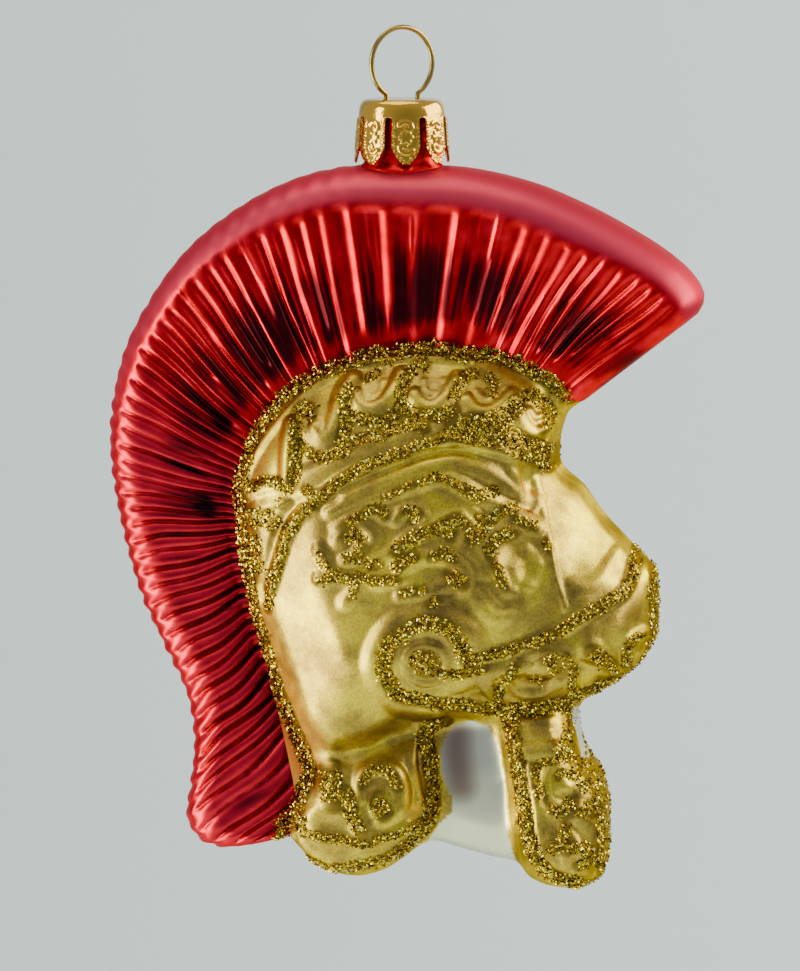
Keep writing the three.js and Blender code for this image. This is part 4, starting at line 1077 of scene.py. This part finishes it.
def strewn_flakes(side):
    """The places of the flakes on one side of the ornament, and the skin's normals there."""
    dice = np.random.default_rng(23 if side < 0 else 24)
    found = []
    for half_width, cover, route in GLITTER_LINES.values():
        stroke = along_stroke(route, 0.4)
        length = np.linalg.norm(np.diff(stroke, axis=0), axis=1).sum()
        count = int(length * 2 * half_width * FLAKES_PER_MM2 * cover)
        waver = np.convolve(dice.normal(0, LINE_WAVER, len(stroke)), np.ones(5) / 2.2, mode="same")
        at = dice.uniform(0, len(stroke) - 1.001, count)
        low = at.astype(int)
        part = at - low
        run = stroke[low + 1] - stroke[low]
        run /= np.linalg.norm(run, axis=1)[:, None] + 1e-9
        offset = half_width * dice.uniform(-1, 1, count)
        offset += dice.normal(0, 0.1, count)
        offset += waver[low]
        x = stroke[low, 0] + part * (stroke[low + 1, 0] - stroke[low, 0]) - run[:, 1] * offset
        z = stroke[low, 1] + part * (stroke[low + 1, 1] - stroke[low, 1]) + run[:, 0] * offset
        for px, pz in zip(x, z):
            spot, normal, _, _ = glass_skin.ray_cast(Vector((px, side * 60, pz)), Vector((0, -side, 0)))
            if spot is None or spot.y * side < 0.3:
                continue
            found.append((spot, normal))
    spots = np.array([spot for spot, _ in found])
    normals = np.array([normal for _, normal in found])
    return dice, spots, normals


def add_glitter(name, side, nodes):
    """One side's glitter as one piece: flat eight-sided flakes, each turned its own way in the glue."""
    dice, spots, normals = strewn_flakes(side)
    count = len(spots)
    leaning = normals + dice.normal(0, FLAKE_TILT, (count, 3))
    leaning /= np.linalg.norm(leaning, axis=1)[:, None]
    across = np.cross(leaning, dice.normal(0, 1, (count, 3)))
    across /= np.linalg.norm(across, axis=1)[:, None]
    beside = np.cross(leaning, across)
    radius = dice.uniform(*FLAKE_RADIUS, count)[:, None]
    middle = spots + normals * dice.uniform(0.02, GLUE_HEIGHT, (count, 1))
    rise = leaning * FLAKE_THICKNESS
    places = np.stack([
        middle + across * radius, middle + beside * radius, middle - across * radius,
        middle - beside * radius, middle + rise, middle - rise,
    ], axis=1).reshape(-1, 3) * MM
    pattern = np.array([
        (0, 1, 4), (1, 2, 4), (2, 3, 4), (3, 0, 4), (1, 0, 5), (2, 1, 5), (3, 2, 5), (0, 3, 5),
    ])
    faces = (pattern[None] + 6 * np.arange(count)[:, None, None]).reshape(-1, 3)
    mesh = bpy.data.meshes.new(name)
    mesh.from_pydata(places.tolist(), [], faces.tolist())
    piece = bpy.data.objects.new(name, mesh)
    bpy.context.collection.objects.link(piece)
    mark_vertices(piece, "tone", np.repeat(dice.uniform(0, 1, count), 6))
    piece.data.materials.append(glitter)
    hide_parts(*nodes)
    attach(piece, "root")


# Metallised film: mirror-like flakes in gold, pale gold and brown, each its own tone.
glitter, shader = new_material("gold_metallised_film_flakes")
tone = add_node(glitter, "ShaderNodeAttribute", attribute_name="tone").outputs["Fac"]
tint = ramp(glitter, tone, [
    (0.0, "#5a4009"), (0.3, "#a68818"), (0.6, "#d2b02c"), (0.85, "#f2d644"), (1.0, "#fff08c"),
])
link(glitter, tint, shader.inputs["Base Color"])
shader.inputs["Metallic"].default_value = 1
shader.inputs["Roughness"].default_value = 0.22
LINE_NODES = ["crest_line", "diadem_line", "brow_line", "cheek_line", "neck_guard_line"]
add_glitter("right_glitter", -1, [f"right_{name}" for name in LINE_NODES])
add_glitter("left_glitter", 1, [f"left_{name}" for name in LINE_NODES])


# The cap is stamped from thin gold-coloured sheet: a flat top, a rounded shoulder and eight pointed
# tabs that spread over the neck, with an embossed curl, star and curl on each tab.
CAP_TOP_Z = -10.125
CAP_HEM_Z = -18.925
CAP_RADII = [(4.9, 0.0), (5.35, -0.18), (5.68, -0.62), (5.85, -1.4), (6.05, -3.6), (6.4, -8.8)]
CAP_SHEET = 0.3
CAP_HEIGHT = 8.8
SHOULDER_START = 7.4
TABS = 8
TAB_COLUMNS = 26
SLOT_HALF = 0.5
SLOT_TOP = 6.7
POINT_LENGTH = 2.5
FIRST_SLOT_ANGLE = math.radians(33)
EMBOSSING = [
    {"half_width": 0.2, "height": 0.2, "route": [
        (-0.9, 5.7), (-0.3, 6.1), (0.5, 5.9), (0.8, 5.2), (0.3, 4.9), (0.0, 5.3),
    ]},
    {"half_width": 0.2, "height": 0.2, "route": [
        (0.9, 2.1), (0.3, 1.7), (-0.5, 1.9), (-0.8, 2.6), (-0.3, 2.9), (0.0, 2.5),
    ]},
    {"half_width": 0.22, "height": 0.22, "route": [(-0.7, 3.9), (0.7, 3.9)]},
    {"half_width": 0.22, "height": 0.22, "route": [(-0.4, 3.3), (0.4, 4.5)]},
    {"half_width": 0.22, "height": 0.22, "route": [(-0.4, 4.5), (0.4, 3.3)]},
]
BORDER_INSET = 0.34
NOTCH_PITCH = 0.42
NOTCH_HEIGHT = 0.16


def cap_radius(z):
    heights = [row[1] for row in CAP_RADII][::-1]
    return np.interp(z - CAP_TOP_Z, heights, [row[0] for row in CAP_RADII][::-1])


def tab_half_width(above_hem):
    """Half the width of a tab at a height above the hem. It is round above and pointed below."""
    full = math.pi * cap_radius(CAP_HEM_Z + above_hem) / TABS - SLOT_HALF
    point = np.clip(above_hem / POINT_LENGTH, 0, 1)
    closing = 1 - np.clip((above_hem - SLOT_TOP + SLOT_HALF) / SLOT_HALF, 0, 1)
    rounded = SLOT_HALF * (1 - np.sqrt(np.clip(1 - (1 - closing) ** 2, 0, 1)))
    whole = full + SLOT_HALF
    return np.where(above_hem >= SLOT_TOP, whole, full * point ** 0.55 + rounded)


heights = np.concatenate([
    np.linspace(0.02, POINT_LENGTH, 18), np.linspace(POINT_LENGTH, SLOT_TOP, 24)[1:],
    np.linspace(SLOT_TOP, SHOULDER_START, 4)[1:],
    CAP_HEIGHT - np.array([1.0, 0.62, 0.36, 0.18, 0.07, 0.0]),
])
columns = np.linspace(-1, 1, TAB_COLUMNS)
places, faces = [], []
for tab in range(TABS):
    middle_angle = FIRST_SLOT_ANGLE + math.radians(270) + (tab + 0.5) * 2 * math.pi / TABS
    shift = len(places)
    for height in heights:
        half_width = float(tab_half_width(height))
        radius = float(cap_radius(CAP_HEM_Z + height))
        across = columns * half_width
        lift = np.zeros(len(columns))
        spots = np.stack([across, np.full(len(columns), height)], axis=1)
        for stroke in EMBOSSING:
            near = nearness(stroke["route"], 1.5 * stroke["half_width"], spots)
            lift = np.maximum(lift, stroke["height"] * near)
        if height < SLOT_TOP:
            edge = half_width - np.abs(across)
            notch = 0.5 + 0.5 * np.cos(2 * math.pi * (height + 0.3 * np.abs(across)) / NOTCH_PITCH)
            lift = np.maximum(lift, NOTCH_HEIGHT * notch * (edge < BORDER_INSET * 1.6))
        for x, rise in zip(across, lift):
            angle = middle_angle + x / radius
            places.append((
                (radius + rise) * math.cos(angle) * MM, (radius + rise) * math.sin(angle) * MM,
                (CAP_HEM_Z + height) * MM,
            ))
    for row in range(len(heights) - 1):
        for column in range(TAB_COLUMNS - 1):
            a = shift + row * TAB_COLUMNS + column
            faces.append((a, a + 1, a + TAB_COLUMNS + 1, a + TAB_COLUMNS))
mesh = bpy.data.meshes.new("stamped_cap")
mesh.from_pydata(places, [], faces)
cap = bpy.data.objects.new("stamped_cap", mesh)
bpy.context.collection.objects.link(cap)
only(cap)
bpy.ops.object.mode_set(mode="EDIT")
bpy.ops.mesh.select_all(action="SELECT")
bpy.ops.mesh.remove_doubles(threshold=0.01 * MM)
bpy.ops.mesh.normals_make_consistent(inside=False)
bpy.ops.mesh.select_all(action="DESELECT")
bpy.ops.object.mode_set(mode="OBJECT")
top = max(corner.co.z for corner in mesh.vertices) - 0.005 * MM
for edge in mesh.edges:
    edge.select = all(mesh.vertices[c].co.z > top for c in edge.vertices)
bpy.ops.object.mode_set(mode="EDIT")
bpy.ops.mesh.select_mode(type="EDGE")
bpy.ops.mesh.fill_holes(sides=0)
bpy.ops.object.mode_set(mode="OBJECT")
apply_modifier(cap, "SOLIDIFY", thickness=CAP_SHEET * MM, offset=-1)
only(cap)
bpy.ops.object.shade_smooth_by_angle(angle=math.radians(40))

# Gold-coloured anodised aluminium, rolled and stamped: smooth bright sheet with fine rolling marks.
ROLLING_MARK_SIZE = 0.5 * MM
ROLLING_MARK_HEIGHT = 0.03 * MM
sheet, shader = new_material("bright_gold_anodised_aluminium")
place = add_node(sheet, "ShaderNodeTexCoord").outputs["Object"]
rolling = add_node(sheet, "ShaderNodeTexNoise", {
    "Vector": place, "Scale": 1 / ROLLING_MARK_SIZE, "Detail": 2.0,
})
bumps = add_node(sheet, "ShaderNodeBump", {
    "Height": rolling.outputs["Fac"], "Distance": ROLLING_MARK_HEIGHT,
})
link(sheet, bumps.outputs["Normal"], shader.inputs["Normal"])
shader.inputs["Base Color"].default_value = linear("#dca83c")
shader.inputs["Metallic"].default_value = 1
shader.inputs["Roughness"].default_value = 0.13
cap.data.materials.append(sheet)
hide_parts("cap")
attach(cap, "root")


# The hanger is one length of brass wire bent into a loop. Its legs go down through the cap and
# spring apart inside the neck, which holds the cap on.
WIRE_RADIUS = 0.375
LOOP_RADIUS = 5.1
LOOP_CENTRE_Z = -4.78
LEG_REACH = 2.65
FOOT_REACH = 3.7
FOOT_Z = -22.1
LEG_TOP_Z = CAP_TOP_Z - 0.75
LOOP_TURN = math.radians(38)

opening = math.asin(LEG_REACH / LOOP_RADIUS)
route = [(-FOOT_REACH, FOOT_Z), (-LEG_REACH, LEG_TOP_Z)]
for angle in np.linspace(opening, 2 * math.pi - opening, 49):
    route.append((-LOOP_RADIUS * math.sin(angle), LOOP_CENTRE_Z - LOOP_RADIUS * math.cos(angle)))
route += [(LEG_REACH, LEG_TOP_Z), (FOOT_REACH, FOOT_Z)]
bend = bpy.data.curves.new("hanger_loop", "CURVE")
bend.dimensions = "3D"
bend.bevel_depth = WIRE_RADIUS * MM
bend.bevel_resolution = 5
bend.use_fill_caps = True
line = bend.splines.new("POLY")
line.points.add(len(route) - 1)
for point, (x, z) in zip(line.points, route):
    point.co = (x * math.cos(LOOP_TURN) * MM, x * math.sin(LOOP_TURN) * MM, z * MM, 1)
wire = bpy.data.objects.new("hanger_loop", bend)
bpy.context.collection.objects.link(wire)
only(wire)
bpy.ops.object.convert(target="MESH")
wire = bpy.context.view_layer.objects.active
bpy.ops.object.shade_smooth()

# Brass wire, drawn through a die: smooth metal, its yellow dulled a little by the air.
brass, shader = new_material("drawn_brass_wire")
shader.inputs["Base Color"].default_value = linear("#a88a4a")
shader.inputs["Metallic"].default_value = 1
shader.inputs["Roughness"].default_value = 0.24
wire.data.materials.clear()
wire.data.materials.append(brass)
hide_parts("hanger_wire")
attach(wire, "root")


# The studio: a pale paper sweep of floor and wall, far enough off to be walked round. Warm soft
# lights stand low and high at the left, behind at the right, and above, and a white one washes the
# wall. The room is cool and a little dimmer behind the camera, for darker reflections at the front.
FLOOR_Z = -0.6
SWEEP_WIDTH = 5.0
SWEEP_FRONT = -1.6
SWEEP_BACK = 1.9
SWEEP_RADIUS = 0.5
WALL_HEIGHT = 1.8
pale, shader = new_material("pale_matt_paper")
shader.inputs["Base Color"].default_value = linear("#dce8e6")
shader.inputs["Roughness"].default_value = 0.9
side_line = [(SWEEP_FRONT, FLOOR_Z)]
for turn in np.linspace(0, math.pi / 2, 24):
    side_line.append((
        SWEEP_BACK - SWEEP_RADIUS + SWEEP_RADIUS * math.sin(turn),
        FLOOR_Z + SWEEP_RADIUS - SWEEP_RADIUS * math.cos(turn),
    ))
side_line.append((SWEEP_BACK, WALL_HEIGHT))
mesh = bpy.data.meshes.new("pale_sweep")
places = [(side * SWEEP_WIDTH / 2, y, z) for y, z in side_line for side in (-1, 1)]
faces = [(2 * k, 2 * k + 1, 2 * k + 3, 2 * k + 2) for k in range(len(side_line) - 1)]
mesh.from_pydata(places, [], faces)
sweep = bpy.data.objects.new("pale_sweep", mesh)
bpy.context.collection.objects.link(sweep)
only(sweep)
bpy.ops.object.shade_smooth()
sweep.data.materials.append(pale)
sweep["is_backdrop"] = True

world = bpy.data.worlds.new("soft_room")
bpy.context.scene.world = world
world.use_nodes = True
world.node_tree.nodes.clear()
way = add_node(world, "ShaderNodeTexCoord").outputs["Generated"]
to_front = add_node(world, "ShaderNodeVectorMath", {
    0: way, 1: (0.35, -0.91, -0.2),
}, operation="DOT_PRODUCT").outputs["Value"]
dimming = ramp(world, to_front, [(0.0, "#c8ced6"), (0.6, "#b6bec8"), (0.95, "#929eb0")])
air = add_node(world, "ShaderNodeBackground", {"Color": dimming, "Strength": 0.95})
add_node(world, "ShaderNodeOutputWorld", {"Surface": air.outputs["Background"]})

WARM = (0.97, 1, 0.66)
WHITE = (1, 0.97, 1)
MIDDLE = (0, 0, -0.065)
WALL = (0.05, 1.9, -0.1)
LAMPS = [
    {"name": "left_softbox", "from": (-0.74, -0.24, -0.36), "to": MIDDLE, "size": (0.5, 0.5),
     "watts": 8.5, "colour": WARM},
    {"name": "left_fill", "from": (-0.75, -0.45, 0.12), "to": MIDDLE, "size": (0.25, 0.6),
     "watts": 5, "colour": WARM},
    {"name": "right_softbox", "from": (0.72, 0.2, 0.25), "to": MIDDLE, "size": (0.9, 0.5),
     "watts": 11, "colour": WARM},
    {"name": "top_softbox", "from": (-0.1, 0.1, 0.9), "to": MIDDLE, "size": (0.8, 0.8),
     "watts": 5, "colour": WARM},
    {"name": "wall_wash", "from": (0.75, 0.95, 0.45), "to": WALL, "size": (0.5, 0.5),
     "watts": 14, "colour": WHITE},
]
for lamp in LAMPS:
    light = bpy.data.lights.new(lamp["name"], "AREA")
    light.shape = "RECTANGLE"
    light.size, light.size_y = lamp["size"]
    light.energy = lamp["watts"]
    light.color = lamp["colour"]
    holder = bpy.data.objects.new(lamp["name"], light)
    bpy.context.collection.objects.link(holder)
    holder.location = lamp["from"]
    holder.rotation_euler = (Vector(lamp["to"]) - holder.location).to_track_quat("-Z", "Y").to_euler()

CAMERA_AZIMUTH = math.radians(5.5)
CAMERA_ELEVATION = math.radians(6.5)
CAMERA_DISTANCE = 0.9
CAMERA_TARGET = Vector((-0.000287, 0, -0.06506))
PIXELS_PER_MM = 7.0
IMAGE_HEIGHT = 971
SENSOR = 36
lens = bpy.data.cameras.new("camera")
lens.sensor_fit = "VERTICAL"
lens.sensor_height = SENSOR
lens.lens = SENSOR * CAMERA_DISTANCE / (IMAGE_HEIGHT / PIXELS_PER_MM * MM)
camera = bpy.data.objects.new("camera", lens)
bpy.context.collection.objects.link(camera)
towards = Vector((
    math.sin(CAMERA_AZIMUTH) * math.cos(CAMERA_ELEVATION),
    -math.cos(CAMERA_AZIMUTH) * math.cos(CAMERA_ELEVATION),
    math.sin(CAMERA_ELEVATION),
))
camera.location = CAMERA_TARGET + CAMERA_DISTANCE * towards
camera.rotation_euler = (-towards).to_track_quat("-Z", "Y").to_euler()
bpy.context.scene.camera = camera

shown_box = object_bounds()
[[list(corner) for corner in box] for box in (cad_box, shown_box)]
